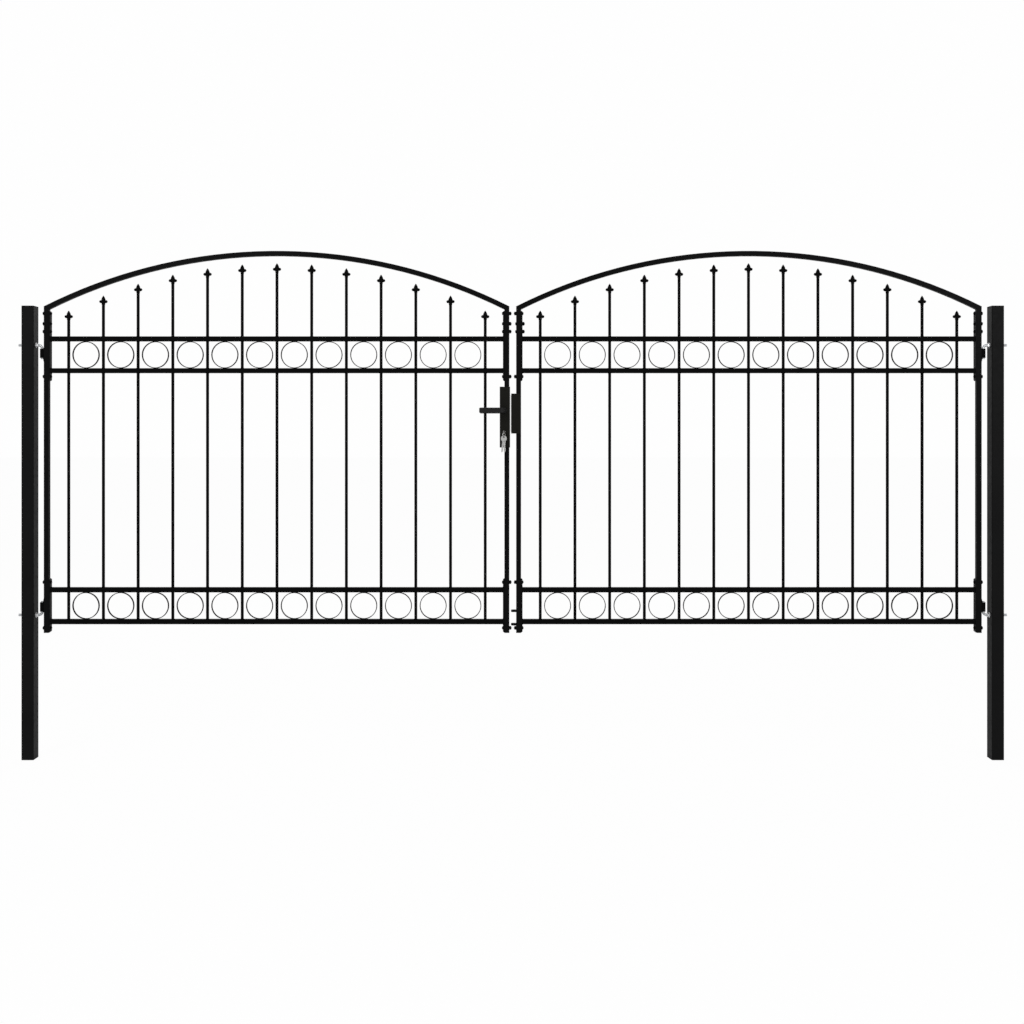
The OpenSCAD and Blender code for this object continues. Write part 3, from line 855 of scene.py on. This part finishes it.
@dataclass
class Leaf:
    """One leaf: spear heads, bolts and weld beads, measured on the left half."""

    side: Side
    hinge_face: float = 0.060
    meeting_face: float = 1.961
    tube: float = 0.020
    tube_corner: float = 2.0 * MM
    plate: float = 0.006
    rails: tuple[float, ...] = (0.560, 0.690, 1.586, 1.716)
    ring_heights: tuple[float, ...] = (0.625, 1.651)
    ring_radius: float = 0.05485
    ring_half_width: float = 0.004
    picket_radius: float = 0.006
    picket_first: float = 0.1585
    picket_pitch: float = 0.142
    picket_count: int = 13
    tip_crown: float = 2.026
    tip_radius: float = 1.970
    arch_centre: float = -0.035
    arch_radius: float = 2.100
    bolt_heights: tuple[float, ...] = (1.820, 1.778, 1.746, 1.562, 0.721, 0.534)
    turned_bolts: tuple[int, ...] = ()
    hinge_bolt: Bolt = Bolt(nut_height=4.6 * MM, end=1.0 * MM)
    meeting_bolt: Bolt = Bolt()
    picket_bead: Bead = Bead(1.25 * MM, swell=0.2, rate=9.0, steps=6)
    picket_bead_gap: float = 0.3 * MM
    rail_bead: Bead = Bead(1.5 * MM, swell=0.16, rate=2.4, steps=7)
    mitre_bead: Bead = Bead(0.55 * MM, swell=0.2, rate=1.9, steps=6)
    tack: Place = (1.1 * MM, 1.3 * MM, 6.5 * MM)
    tack_shares: Pairs = (
        (0.0, -1.0), (0.5, -0.85), (0.9, -0.4), (1.0, 0.0), (0.9, 0.4), (0.5, 0.85), (0.0, 1.0),
    )

    @property
    def middle(self) -> float:
        """The leaf's middle along the gate."""
        return (self.hinge_face + self.meeting_face) / 2.0

    @property
    def pickets(self) -> Array:
        """Where the pickets stand along the gate."""
        return self.picket_first + self.picket_pitch * np.arange(self.picket_count)

    @property
    def inner_faces(self) -> tuple[float, float]:
        """The end plates' inner faces, at the hinge end and at the meeting end."""
        inset = self.tube + self.plate
        return self.hinge_face + inset, self.meeting_face - inset

    def tips(self) -> Array:
        """The spear tips' heights: a circle of tip_radius through the crown's tip."""
        away = self.pickets - self.middle
        return self.tip_crown - self.tip_radius + np.sqrt(self.tip_radius**2 - away**2)

    def build(self) -> None:
        """Makes every piece of this leaf."""
        SpearHead().build(self)
        self._bolts()
        self._picket_welds()
        self._ring_welds()
        self._rail_welds()
        self._mitre_welds()

    def _end(self, maker: MeshMaker, what: str, finish: Finish = CAST, sharp: float = 80.0) -> None:
        """Ends one piece of this leaf, a weld in the castings' coat if nothing else is said."""
        maker.finish(self.side.named(what), self.side.leaf, finish, "black_coat", sharp)

    def _bolts(self) -> None:
        """Bolts through stiles and end plates: washer, nut and bolt end outside, domed head inside,
        and the turned ones at the meeting end the other way round."""
        maker = MeshMaker()
        hinge_in, meeting_in = self.inner_faces
        hinge = ((self.hinge_face, Facing.BACKALONG), (hinge_in, Facing.ALONG))
        meeting = ((self.meeting_face, Facing.ALONG), (meeting_in, Facing.BACKALONG))
        for number, height in enumerate(self.bolt_heights):
            turned = number in self.turned_bolts
            self._bolt(maker, self.hinge_bolt, height, *hinge)
            self._bolt(maker, self.meeting_bolt, height, *(meeting[::-1] if turned else meeting))
        self._end(maker, "bolts", POWDER, sharp=35.0)

    def _bolt(
        self, maker: MeshMaker, bolt: Bolt, height: float, nut_end: tuple[float, Facing],
        head_end: tuple[float, Facing],
    ) -> None:
        """Adds one bolt.

        Args:
            maker: the mesh under construction.
            bolt: the bolt's sizes.
            height: the bolt's height.
            nut_end: the face under the nut, and where the nut points.
            head_end: the face under the head, and where the head points.
        """
        for grids, (face, facing) in ((bolt.nut(), nut_end), (bolt.head(), head_end)):
            for grid in grids:
                maker.add_at(grid, points_at(face, 0.0, height), facing, self.side)

    def _picket_welds(self) -> None:
        """Beads round the pickets where they meet the rails, a rippled ring at each rail face but
        the lowest one."""
        half = self.tube / 2.0
        faces = (np.array(self.rails)[:, None] + half * BOTH_WAYS).reshape(-1, 1)[1:]
        angle = around(18)
        out = points_at(np.cos(angle), np.sin(angle), 0.0)
        path = out * (self.picket_radius + self.picket_bead_gap)
        places = points_at(self.pickets, 0.0, faces).reshape(-1, 3)
        maker = MeshMaker()
        bead = self.picket_bead.loop(path, out, Z_WAY, angle)
        maker.add_at(bead, places, Facing.UP, self.side, wrap_rows=True)
        self._end(maker, "picket_welds")

    def _ring_welds(self) -> None:
        """Tacks where the rings meet the rails, front and back: flat drops, long along the rail."""
        heights = np.array(self.ring_heights)[:, None] + self.ring_radius * BOTH_WAYS
        bays = self.pickets[:-1] + self.picket_pitch / 2.0
        depths = self.ring_half_width * BOTH_WAYS
        places = points_at(bays[:, None, None], depths[:, None], heights.ravel()).reshape(-1, 3)
        maker = MeshMaker()
        drop = revolved(self.tack_shares, steps=8) * np.array(self.tack)
        maker.add_at(drop, places, Facing.ALONG, self.side)
        self._end(maker, "ring_welds")

    def _tube_bead(self, bead: Bead, along: Array, off: Array) -> Array:
        """A bead round a tube's end, on a square with round corners.

        Args:
            bead: the bead's sizes.
            along: where the square's first side points; the other one points along +Y.
            off: the unit direction off the square's plane.

        Returns:
            A grid of points, path by place round the bead.
        """
        loop = rounded_square(self.tube / 2.0, self.tube_corner, steps=8)
        path = loop[:, :1] * along + loop[:, 1:] * Y_WAY
        out = path / np.linalg.norm(path, axis=-1, keepdims=True)
        return bead.loop(path, out, off, np.arange(len(path)))

    def _rail_welds(self) -> None:
        """Rippled fillets all round the rails' ends on the end plates."""
        maker = MeshMaker()
        bead = self._tube_bead(self.rail_bead, X_WAY, Z_WAY)
        for face, facing in zip(self.inner_faces, (Facing.ALONG, Facing.BACKALONG)):
            places = points_at(face, 0.0, np.array(self.rails))
            maker.add_at(bead, places, facing, self.side, wrap_rows=True)
        self._end(maker, "rail_welds")

    def _mitre_welds(self) -> None:
        """Dressed seams at the arch's two mitres: a low bead on a square in the mitre's plane,
        drawn out by the plane's lean."""
        half_chord = (self.meeting_face - self.hinge_face - self.tube) / 2.0
        arch_angle = math.asin(half_chord / self.arch_radius)
        spring = self.arch_centre + self.arch_radius * math.cos(arch_angle)
        lean = (QUARTER - arch_angle) / 2.0
        maker = MeshMaker()
        for end in BOTH_WAYS:
            slope = np.array([-end * math.cos(lean), 0.0, -math.sin(lean)]) / math.cos(lean)
            normal = np.array([-end * math.sin(lean), 0.0, math.cos(lean)])
            bead = self._tube_bead(self.mitre_bead, slope, normal)
            place = points_at(self.middle + end * half_chord, 0.0, spring)
            maker.add_at(bead, place, Facing.UP, self.side, wrap_rows=True)
        self._end(maker, "mitre_welds", POWDER)


# Pieces of the posts and the hinges


@dataclass
class Post:
    """A post's fittings: its moulded cap and the threads of its pintles.

    The cap's rim is a table of insets from the full width and drops from the top.
    """

    side: Side
    half: float = 0.025
    corner: float = 0.004
    top: float = 1.846
    cap: float = 0.004
    cap_edge: float = 0.3 * MM
    cap_rim: Pairs = (
        (0.0, 1.6 * MM), (0.25 * MM, 0.9 * MM), (0.8 * MM, 0.4 * MM), (2.0 * MM, 0.25 * MM),
        (12.5 * MM, 0.05 * MM),
    )
    plug_half: float = 0.02285
    plug: float = 0.018
    pintle_heights: tuple[float, ...] = (0.587, 1.690)
    pintle_radius: float = 0.005
    stub_end: float = -0.045
    pitch: float = 1.75 * MM
    thread_root: float = 0.03 * MM
    thread_depth: float = 0.34 * MM
    thread_chamfer: float = 1.2 * MM
    thread_end_share: float = 0.86

    def build(self) -> None:
        """Makes the cap and the threads."""
        self._cap()
        self._threads()

    def _cap(self) -> None:
        """The cap: square loops with round corners stacked from the plug's foot to the top, the
        top edge rounded and the top a little crowned."""
        full, plug, low, flat = self.half, self.plug_half, self.top, self.top + self.cap
        foot = [
            (0.0, low - self.plug), (plug, low - self.plug), (plug, low),
            (full - self.cap_edge, low), (full, low + self.cap_edge),
        ]
        rim = [(full - inset, flat - drop) for inset, drop in self.cap_rim]
        half, z = np.array([*foot, *rim, (0.0, flat)]).T
        loops = rounded_square(half, np.minimum(self.corner, half), steps=7)
        maker = MeshMaker()
        maker.add(self.side.place(points_at(loops[..., 0], loops[..., 1], z[:, None])))
        cap = maker.finish(self.side.named("moulded_cap"), "posts", CAP_PLASTIC, "black_cap")
        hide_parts(self.side.named("post_cap"))

    def _threads(self) -> None:
        """The rolled threads of the pintle stubs: a sleeve whose radius is a triangle wave of
        height over pitch less the angle's share of a turn, chamfered at the bar's end."""
        length = -self.half - self.stub_end
        z = np.linspace(0.0, length, 115)[:, None]
        angle = around(28)[None, :]
        wave = np.abs(2.0 * np.mod(z / self.pitch - angle / TURN, 1.0) - 1.0)
        chamfer = np.clip((length - z) / self.thread_chamfer, 0.0, 1.0)
        crest = (self.thread_root + self.thread_depth * wave) * chamfer
        end = self.thread_end_share
        radius = (self.pintle_radius + crest) * (end + (1.0 - end) * chamfer)
        sleeve = points_at(radius * np.cos(angle), radius * np.sin(angle), z)
        closing = points_at(0.0 * angle, 0.0, length)
        places = points_at(-self.half, 0.0, np.array(self.pintle_heights))
        maker = MeshMaker()
        maker.add_at(np.concatenate([sleeve, closing]), places, Facing.BACKALONG, self.side)
        maker.finish(self.side.named("pintle_threads"), "posts", ZINC, "zinc", sharp=30.0)


@dataclass
class Hinge:
    """Weld fillets of one leaf's hinge barrels on their straps."""

    side: Side
    strap_face: float = 0.058
    spans: tuple[tuple[float, float], ...] = ((0.6023, 0.6378), (1.6392, 1.6747))
    bead: Bead = Bead(1.7 * MM, swell=0.14, rate=9.0 * TURN)
    bead_sink: float = 0.3 * MM
    bead_depth: float = 5.4 * MM
    end_power: int = 12

    def build(self) -> None:
        """Beads along both flanks of each barrel: rippled rods with round ends."""
        share = np.linspace(0.0, 1.0, 33)
        ends = np.sqrt(np.clip(1.0 - (2.0 * np.abs(share - 0.5)) ** self.end_power, 0.0, 1.0))
        size = self.bead.size(share) * ends
        maker = MeshMaker()
        for low, high in self.spans:
            rod = revolved(np.stack([size, share * (high - low)], axis=-1), self.bead.steps)
            places = points_at(self.strap_face - self.bead_sink, self.bead_depth * BOTH_WAYS, low)
            maker.add_at(rod, places, Facing.UP, self.side)
        name = self.side.named("hinge_welds")
        maker.finish(name, self.side.leaf, CAST, "black_coat", sharp=80.0)


# Pieces of the lock


@dataclass
class Lock:
    """The lock's small fittings: strike plate, roses, screws, plug rings, latch and dead bolt.

    The rose and the plug's rim are radius and height pairs. The screw's pairs are shares of its
    radius, and heights. The bolt's pairs are shares of its section, and insets from the forend.
    """

    axis: float = LOCK_AXIS
    lever_height: float = 1.423
    cylinder_height: float = CYLINDER_HEIGHT
    cylinder_face: float = 0.019
    case_face: float = 0.015
    case_heights: tuple[float, ...] = (1.286, 1.506)
    case_middle: float = 1.943
    forend: float = 1.964
    forend_screws: tuple[float, ...] = (1.306, 1.486)
    keep_middle: float = 1.9935
    keep_heights: tuple[float, ...] = (1.342, 1.479)
    keep_face: float = 1.969
    pocket_middle: float = 1.4105
    strike: float = 2.0 * MM
    strike_half: tuple[float, float] = (11.0 * MM, 76.0 * MM)
    strike_slot_half: tuple[float, float] = (7.3 * MM, 55.6 * MM)
    strike_corner: float = 2.0 * MM
    strike_edge: float = 0.3 * MM
    strike_seat: float = 0.2 * MM
    strike_screw: float = 66.0 * MM
    case_screw_radius: float = 3.2 * MM
    strike_screw_radius: float = 3.4 * MM
    forend_screw_radius: float = 3.6 * MM
    screw_sink: float = 0.9 * MM
    screw_shares: Pairs = (
        (0.0, -0.5 * MM), (1.0, -0.5 * MM), (1.0, 0.3 * MM), (0.9, 0.8 * MM),
        (0.62, 1.1 * MM), (0.46, 1.1 * MM), (0.40, 0.2 * MM), (0.0, 0.1 * MM),
    )
    rose: Pairs = (
        (12.5 * MM, -0.5 * MM), (12.5 * MM, 2.2 * MM), (13.0 * MM, 2.7 * MM), (14.6 * MM, 2.7 * MM),
        (15.6 * MM, 2.2 * MM), (16.0 * MM, 1.2 * MM), (16.0 * MM, -0.5 * MM),
    )
    plug_rim: Pairs = (
        (6.2 * MM, -0.3 * MM), (6.2 * MM, 0.25 * MM), (6.5 * MM, 0.4 * MM),
        (6.9 * MM, 0.25 * MM), (6.9 * MM, -0.3 * MM),
    )
    bolt_spans: tuple[tuple[float, float], ...] = ((1.431, 1.451), (1.3335, 1.3605))
    bolt_half: float = 5.4 * MM
    bolt_corner_share: float = 0.16
    bolt_shares: Pairs = (
        (0.0, 9.0 * MM), (1.0, 9.0 * MM), (1.0, 1.4 * MM), (0.92, 0.7 * MM), (0.0, 0.7 * MM),
    )

    def build(self) -> None:
        """Makes the fittings of the lock and of the keep."""
        self._strike_plate()
        self._roses()
        self._screws()
        self._plug_rings()
        self._bolts()

    def _both_faces(
        self, maker: MeshMaker, grid: Array, x: float, face: float, heights: Sequence[float],
        wrap_rows: bool = False,
    ) -> None:
        """Adds a turned grid on the front and on the back face at each height.

        Args:
            maker: the mesh under construction.
            grid: points of one copy about its own origin.
            x: where the copies stand along the gate.
            face: how far the faces are from the leaf's middle plane.
            heights: the copies' heights.
            wrap_rows: whether the last row joins the first one.
        """
        for facing, depth in ((Facing.FRONT, -face), (Facing.BACK, face)):
            places = points_at(x, depth, np.array(heights))
            maker.add_at(grid, places, facing, wrap_rows=wrap_rows)

    def _screw(self, radius: float) -> Array:
        """A pan-head screw with a round recess, along +Z: its profile spun."""
        profile = [(radius * share, height) for share, height in self.screw_shares]
        return revolved(profile, steps=18)

    def _strike_plate(self) -> None:
        """The strike plate round the keep's pocket: rounded rectangles carried from the plate's
        outer edge over its face into its slot, each a rounded square drawn out along Z, and two
        sunk screws."""
        edge, back = self.strike_edge, self.keep_face + self.strike_seat
        front = self.keep_face - self.strike
        plate, slot = self.strike_half, self.strike_slot_half
        rows = []
        for (across, along), inset, x in (
            (plate, 0.0, back), (plate, 0.0, front + edge), (plate, -edge, front),
            (slot, edge, front), (slot, 0.0, front + edge), (slot, 0.0, back),
        ):
            y, z = rounded_square(across + inset, self.strike_corner, steps=5).T
            rows.append(points_at(x, y, self.pocket_middle + z + np.sign(z) * (along - across)))
        maker = MeshMaker()
        maker.add(np.stack(rows), wrap_rows=True)
        heights = self.pocket_middle + self.strike_screw * BOTH_WAYS
        places = points_at(front + self.screw_sink, 0.0, heights)
        maker.add_at(self._screw(self.strike_screw_radius), places, Facing.BACKALONG)
        maker.finish("keep_strike_plate", Side.RIGHT.leaf, STEEL_PLATE, "zinc", sharp=35.0)

    def _roses(self) -> None:
        """Rings on the case round the levers' collars: a low profile with a rounded rim, spun."""
        maker = MeshMaker()
        rose, heights = revolved(self.rose, steps=48), (self.lever_height,)
        self._both_faces(maker, rose, self.axis, self.case_face, heights, wrap_rows=True)
        maker.finish("lever_roses", Side.LEFT.leaf, LOCK_COAT, "black_coat")

    def _screws(self) -> None:
        """Screws of the case, the keep and the forend."""
        screw = self._screw(self.case_screw_radius)
        for name, side, x, heights in (
            ("lock_screws", Side.LEFT, self.case_middle, self.case_heights),
            ("keep_screws", Side.RIGHT, self.keep_middle, self.keep_heights),
        ):
            maker = MeshMaker()
            self._both_faces(maker, screw, x, self.case_face, heights)
            maker.finish(name, side.leaf, LOCK_COAT, "black_coat", sharp=35.0)
        maker = MeshMaker()
        places = points_at(self.forend - self.screw_sink, 0.0, np.array(self.forend_screws))
        maker.add_at(self._screw(self.forend_screw_radius), places, Facing.ALONG)
        maker.finish("forend_screws", Side.LEFT.leaf, STEEL_PLATE, "zinc", sharp=35.0)

    def _plug_rings(self) -> None:
        """The rim of the cylinder's plug on both ends: a thin spun ring."""
        maker = MeshMaker()
        rim, heights = revolved(self.plug_rim, steps=36), (self.cylinder_height,)
        self._both_faces(maker, rim, self.axis, self.cylinder_face, heights, wrap_rows=True)
        maker.finish("plug_rings", Side.LEFT.leaf, DARK_NICKEL, "nickel")

    def _bolts(self) -> None:
        """The drawn-back latch and dead bolt in the forend's slots: square loops with round corners
        stacked along the bolt, the end loop smaller."""
        share, inset = np.array(self.bolt_shares).T
        loops = rounded_square(share, self.bolt_corner_share * share, steps=4)
        x = (self.forend - inset)[:, None]
        maker = MeshMaker()
        for low, high in self.bolt_spans:
            z = (low + high) / 2.0 + (high - low) / 2.0 * loops[..., 1]
            maker.add(points_at(x, self.bolt_half * loops[..., 0], z))
        maker.finish("latch_and_dead_bolt", Side.LEFT.leaf, STEEL_PLATE, "zinc", sharp=30.0)


@dataclass
class KeyBunch:
    """The key in the cylinder, its ring and two more keys, which stand for the keys node.

    The leans are degrees. The section's pairs are shares of the blade's height and of half its
    thickness. The cuts are spread evenly over a stretch of the blade.
    """

    axis: float = LOCK_AXIS
    bow_y: float = -0.034
    height: float = CYLINDER_HEIGHT
    ring_y: float = -0.0398
    ring_z: float = 1.3238
    ring_radius: float = 7.7 * MM
    ring_turn: float = 45.0
    wire: float = 0.8 * MM
    wire_press: float = 1.05
    bow_radius: float = 12.0 * MM
    bow_half: float = 10.2 * MM
    bow_edge: float = 0.35 * MM
    hole_radius: float = 4.0 * MM
    hole_offset: float = 5.8 * MM
    thickness: float = 2.0 * MM
    blade_half: float = 4.0 * MM
    blade_root: float = 1.5 * MM
    blade: float = 44.0 * MM
    blade_in_cylinder: float = 27.0 * MM
    hang: float = 7.3 * MM
    step: float = 1.3 * MM
    leans: tuple[float, float] = (-5.0, 2.5)
    cuts: tuple[float, ...] = (0.0, 0.0, 1.9, 0.7, 2.5, 1.2, 2.1, 0.6, 1.7, 0.9, 2.6)
    cut_stretch_shares: tuple[float, float] = (0.1, 0.94)
    tip_share: float = 0.08
    tip_top_share: float = 0.35
    tip_bottom_share: float = 0.55
    section_shares: Pairs = (
        (0.0, 0.8), (0.0, -0.8), (0.08, -1.0), (0.3, -1.0), (0.36, -0.5), (0.52, -0.5),
        (0.58, -1.0), (0.9, -1.0), (1.0, -0.6), (1.0, 0.6), (0.9, 1.0), (0.46, 1.0), (0.40, 0.5),
        (0.24, 0.5), (0.18, 1.0), (0.08, 1.0),
    )

    def build(self) -> None:
        """Makes the bunch as one piece."""
        maker = MeshMaker()
        turned_in = np.stack([Y_WAY, Z_WAY, X_WAY], axis=-1)
        bow = np.array([self.axis, self.bow_y, self.height])
        self._key(maker, turned_in, bow, self.blade_in_cylinder)
        for way, lean in zip(BOTH_WAYS, np.radians(self.leans)):
            down = np.array([math.sin(lean), 0.0, -math.cos(lean)])
            across = np.array([math.cos(lean), 0.0, math.sin(lean)])
            shift = way * self.step
            top = np.array([self.axis + shift, self.ring_y + shift, self.ring_z - self.ring_radius])
            hanging = np.stack([down, across, -Y_WAY], axis=-1)
            self._key(maker, hanging, top + self.hang * down, self.blade)
        self._ring(maker)
        bunch = maker.finish("key_bunch", Side.LEFT.leaf, NICKEL, "nickel", sharp=32.0)
        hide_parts("keys")

    def _key(self, maker: MeshMaker, turn: Array, place: Array, blade: float) -> None:
        """Adds one key: a bow with a hole and a cut blade, turned and placed.

        Args:
            maker: the mesh under construction.
            turn: matrix whose columns are the blade's, the edge's and the flat's directions.
            place: the bow's middle.
            blade: length of the blade past the bow.
        """
        maker.add(self._bow() @ turn.T + place, wrap_rows=True)
        maker.add(self._blade(blade) @ turn.T + place)

    def _bow(self) -> Array:
        """The bow: a closed section carried from the hole's edge to the bow's edge and back, all
        round, its edges a little broken.

        Returns:
            A grid of points, section by angle.
        """
        c, s = np.cos(around(40)), np.sin(around(40))
        inside = np.stack([self.hole_radius * c - self.hole_offset, self.hole_radius * s], axis=-1)
        outside = np.stack([self.bow_radius * c, self.bow_half * s], axis=-1)
        half, edge = self.thickness / 2.0, self.bow_edge
        from_rim, rise = np.array([
            (0.0, half - edge), (edge, half), (-edge, half), (0.0, half - edge),
            (0.0, edge - half), (-edge, -half), (edge, -half), (0.0, edge - half),
        ]).T[..., None]
        on_outside = np.array([0, 0, 1, 1, 1, 1, 0, 0])[:, None]
        along = on_outside + from_rim / np.linalg.norm(outside - inside, axis=-1)
        flat = inside + along[..., None] * (outside - inside)
        return points_at(flat[..., 0], flat[..., 1], rise)

    def _blade(self, length: float) -> Array:
        """The blade: a grooved section carried along it, its upper edge lowered by the cuts and its
        end tapered.

        Args:
            length: how far the blade reaches past the bow.

        Returns:
            A grid of points, path by section, closed at both ends.
        """
        u = np.linspace(0.0, 1.0, 45)[:, None]
        start, end = self.bow_radius - self.blade_root, self.bow_radius + length
        cut = np.interp(u, np.linspace(*self.cut_stretch_shares, len(self.cuts)), self.cuts) * MM
        taper = np.clip((1.0 - u) / self.tip_share, 0.0, 1.0)
        over, under = self.tip_top_share, self.tip_bottom_share
        top = (self.blade_half - cut) * (over + (1.0 - over) * taper)
        bottom = -self.blade_half * (under + (1.0 - under) * taper)
        up, flat = np.array(self.section_shares).T
        y = bottom + up * (top - bottom)
        body = points_at(start + u * (end - start), y, self.thickness / 2.0 * flat)
        closed = [np.broadcast_to(row.mean(axis=0), row.shape)[None] for row in body[[0, -1]]]
        return np.concatenate([closed[0], body, closed[1]])

    def _ring(self, maker: MeshMaker) -> None:
        """The split ring: a wire carried twice round a circle, its two turns a wire apart.

        Args:
            maker: the mesh under construction.
        """
        angle, turn = around(56), math.radians(self.ring_turn)
        flat = np.array([math.cos(turn), math.sin(turn), 0.0])
        normal = np.array([math.sin(turn), -math.cos(turn), 0.0])
        out = np.cos(angle)[:, None] * flat + np.sin(angle)[:, None] * Z_WAY
        circle = np.array([self.axis, self.ring_y, self.ring_z]) + self.ring_radius * out
        wire = Bead(self.wire / 2.0 * self.wire_press)
        for way in BOTH_WAYS:
            path = circle + way * self.wire / 2.0 * normal
            maker.add(wire.loop(path, out, normal, angle), wrap_rows=True)


# Dressing, light and camera


class Dresser:
    """Gives every CAD node its finish."""

    FINISHES: dict[str, Finish] = {
        "post": POST_COAT, "stile": FRAME_COAT, "arch": FRAME_COAT, "plates": FRAME_COAT,
        # The pintle nuts wear the zinc whose lighter colour is a painted highlight.
        "pintle": ZINC, "pintle_nuts": ZINC_WITH_PAINTED_HIGHLIGHT, "lock_forend": STEEL_PLATE,
        "lever_spindle": STEEL_PLATE, "lock_cylinder": DARK_NICKEL, "keys": NICKEL,
        "front_lever": LEVER_COAT, "back_lever": LEVER_COAT, "post_cap": CAP_PLASTIC,
        "lock_case": LOCK_COAT, "lock_keep": LOCK_COAT, "spear_heads": CAST,
    }

    @classmethod
    def finish_of(cls, node: str) -> Finish:
        """The finish whose key ends the node's name, or else the powder coat."""
        return next((finish for key, finish in cls.FINISHES.items() if node.endswith(key)), POWDER)

    @classmethod
    def dress(cls, nodes: dict[str, bpy.types.Object]) -> None:
        """Puts the finishes on.

        Args:
            nodes: the frame's nodes by name.
        """
        for name, obj in nodes.items():
            material = cls.finish_of(name).material()
            if not obj.material_slots:
                obj.data.materials.append(material)
            for slot in obj.material_slots:
                slot.material = material
            LOG.info("%s wears %s", name, material.name)


@dataclass(frozen=True)
class Lamp:
    """A square soft lamp that points at a target."""

    name: str
    place: Place
    target: Place
    size: float
    power: float

    def build(self) -> None:
        """Makes the lamp and turns its -Z to the target."""
        light = bpy.data.lights.new(self.name, "AREA")
        light.size = self.size
        light.energy = self.power
        lamp = bpy.data.objects.new(self.name, light)
        lamp.location = self.place
        way = np.array(self.target) - np.array(self.place)
        tilt = math.acos(-way[2] / np.linalg.norm(way))
        lamp.rotation_euler = (tilt, 0.0, math.atan2(way[1], way[0]) - QUARTER)
        bpy.context.scene.collection.objects.link(lamp)


@dataclass
class Studio:
    """White ground and backdrop, soft lamps, and a level camera before the gate's middle."""

    camera_place: Place = (1.972, -4.45, 1.323)
    lens: float = 38.24
    sensor: float = 36.0
    shift_y: float = -0.0752
    far: float = 200.0
    ambient: float = 0.55
    seen_white: float = 0.992
    ground_reach: float = 60.0
    ground_drop: float = 0.2 * MM
    ground_colour: Colour = (0.86, 0.86, 0.86, 1.0)
    ground_rough: float = 0.9
    ground_glow: float = 0.965
    lamps: tuple[Lamp, ...] = (
        Lamp("key_lamp", (-1.2, -4.2, 4.4), (1.9, 0.0, 1.2), size=2.4, power=105.0),
        Lamp("fill_lamp", (5.6, -4.0, 2.8), (2.1, 0.0, 1.2), size=2.4, power=60.0),
        Lamp("back_lamp", (2.0, 4.2, 4.0), (2.0, 0.0, 1.2), size=3.0, power=70.0),
    )

    def build(self) -> None:
        """Makes ground, world, lamps and camera."""
        self._ground()
        self._world()
        for lamp in self.lamps:
            lamp.build()
        self._camera()
        bpy.context.scene.view_settings.view_transform = "Standard"

    @staticmethod
    def _seen(tree: Tree) -> Socket:
        """One where the ray is seen straight, in a reflection or through glass, else nought.

        Args:
            tree: the node tree.

        Returns:
            The output socket.
        """
        rays = add_node(tree, "ShaderNodeLightPath").outputs
        mirrored = combine(tree, "ADD", rays["Is Camera Ray"], rays["Is Glossy Ray"])
        return combine(tree, "ADD", mirrored, rays["Is Transmission Ray"], clamp=True)

    def _ground(self) -> None:
        """A wide pale floor under the posts' feet; seen straight it is nearly white and keeps
        shadow."""
        mesh = bpy.data.meshes.new("ground")
        corners = self.ground_reach * np.array([[-1, -1, 0], [1, -1, 0], [1, 1, 0], [-1, 1, 0]])
        middle = np.array([self.camera_place[0], 0.0, -self.ground_drop])
        mesh.from_pydata(corners + middle, [], [(0, 1, 2, 3)])
        made = bpy.data.materials.new("pale_ground")
        made.use_nodes = True
        tree = made.node_tree
        shader = tree.nodes["Principled BSDF"]
        shader.inputs["Base Color"].default_value = self.ground_colour
        shader.inputs["Roughness"].default_value = self.ground_rough
        shader.inputs["Specular IOR Level"].default_value = 0.0
        glow = add_node(tree, "ShaderNodeEmission", {"Color": WHITE, "Strength": 1.0})
        part = combine(tree, "MULTIPLY", self._seen(tree), self.ground_glow)
        links = {0: part, 1: shader.outputs[0], 2: glow.outputs[0]}
        mix = add_node(tree, "ShaderNodeMixShader", links)
        tree.links.new(mix.outputs[0], tree.nodes["Material Output"].inputs["Surface"])
        mesh.materials.append(made)
        ground = bpy.data.objects.new("ground", mesh)
        bpy.context.scene.collection.objects.link(ground)

    def _world(self) -> None:
        """White where it is seen, and a softer ambient light on the gate."""
        world = bpy.data.worlds.new("studio")
        world.use_nodes = True
        tree = world.node_tree
        tree.nodes.clear()
        light, white = (
            add_node(tree, "ShaderNodeBackground", {"Color": WHITE, "Strength": strength})
            for strength in (self.ambient, self.seen_white)
        )
        links = {0: self._seen(tree), 1: light.outputs[0], 2: white.outputs[0]}
        mix = add_node(tree, "ShaderNodeMixShader", links)
        add_node(tree, "ShaderNodeOutputWorld", {"Surface": mix.outputs[0]})
        bpy.context.scene.world = world

    def _camera(self) -> None:
        """A level camera that looks along +Y, its picture shifted down."""
        lens = bpy.data.cameras.new("camera")
        lens.lens = self.lens
        lens.sensor_width = self.sensor
        lens.shift_y = self.shift_y
        lens.clip_end = self.far
        camera = bpy.data.objects.new("camera", lens)
        camera.location = self.camera_place
        camera.rotation_euler = (QUARTER, 0.0, 0.0)
        bpy.context.scene.collection.objects.link(camera)
        bpy.context.scene.camera = camera


def main() -> None:
    """Loads the frame and builds every class in order."""
    logging.basicConfig(level=logging.INFO, format="%(name)s: %(message)s")
    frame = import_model()
    Dresser.dress(frame["nodes"])
    for side in Side:
        Post(side).build()
        Hinge(side).build()
        Leaf(side, turned_bolts=(1, 2) if side is Side.RIGHT else ()).build()
    Lock().build()
    KeyBunch().build()
    Studio().build()


if __name__ == "__main__":
    main()
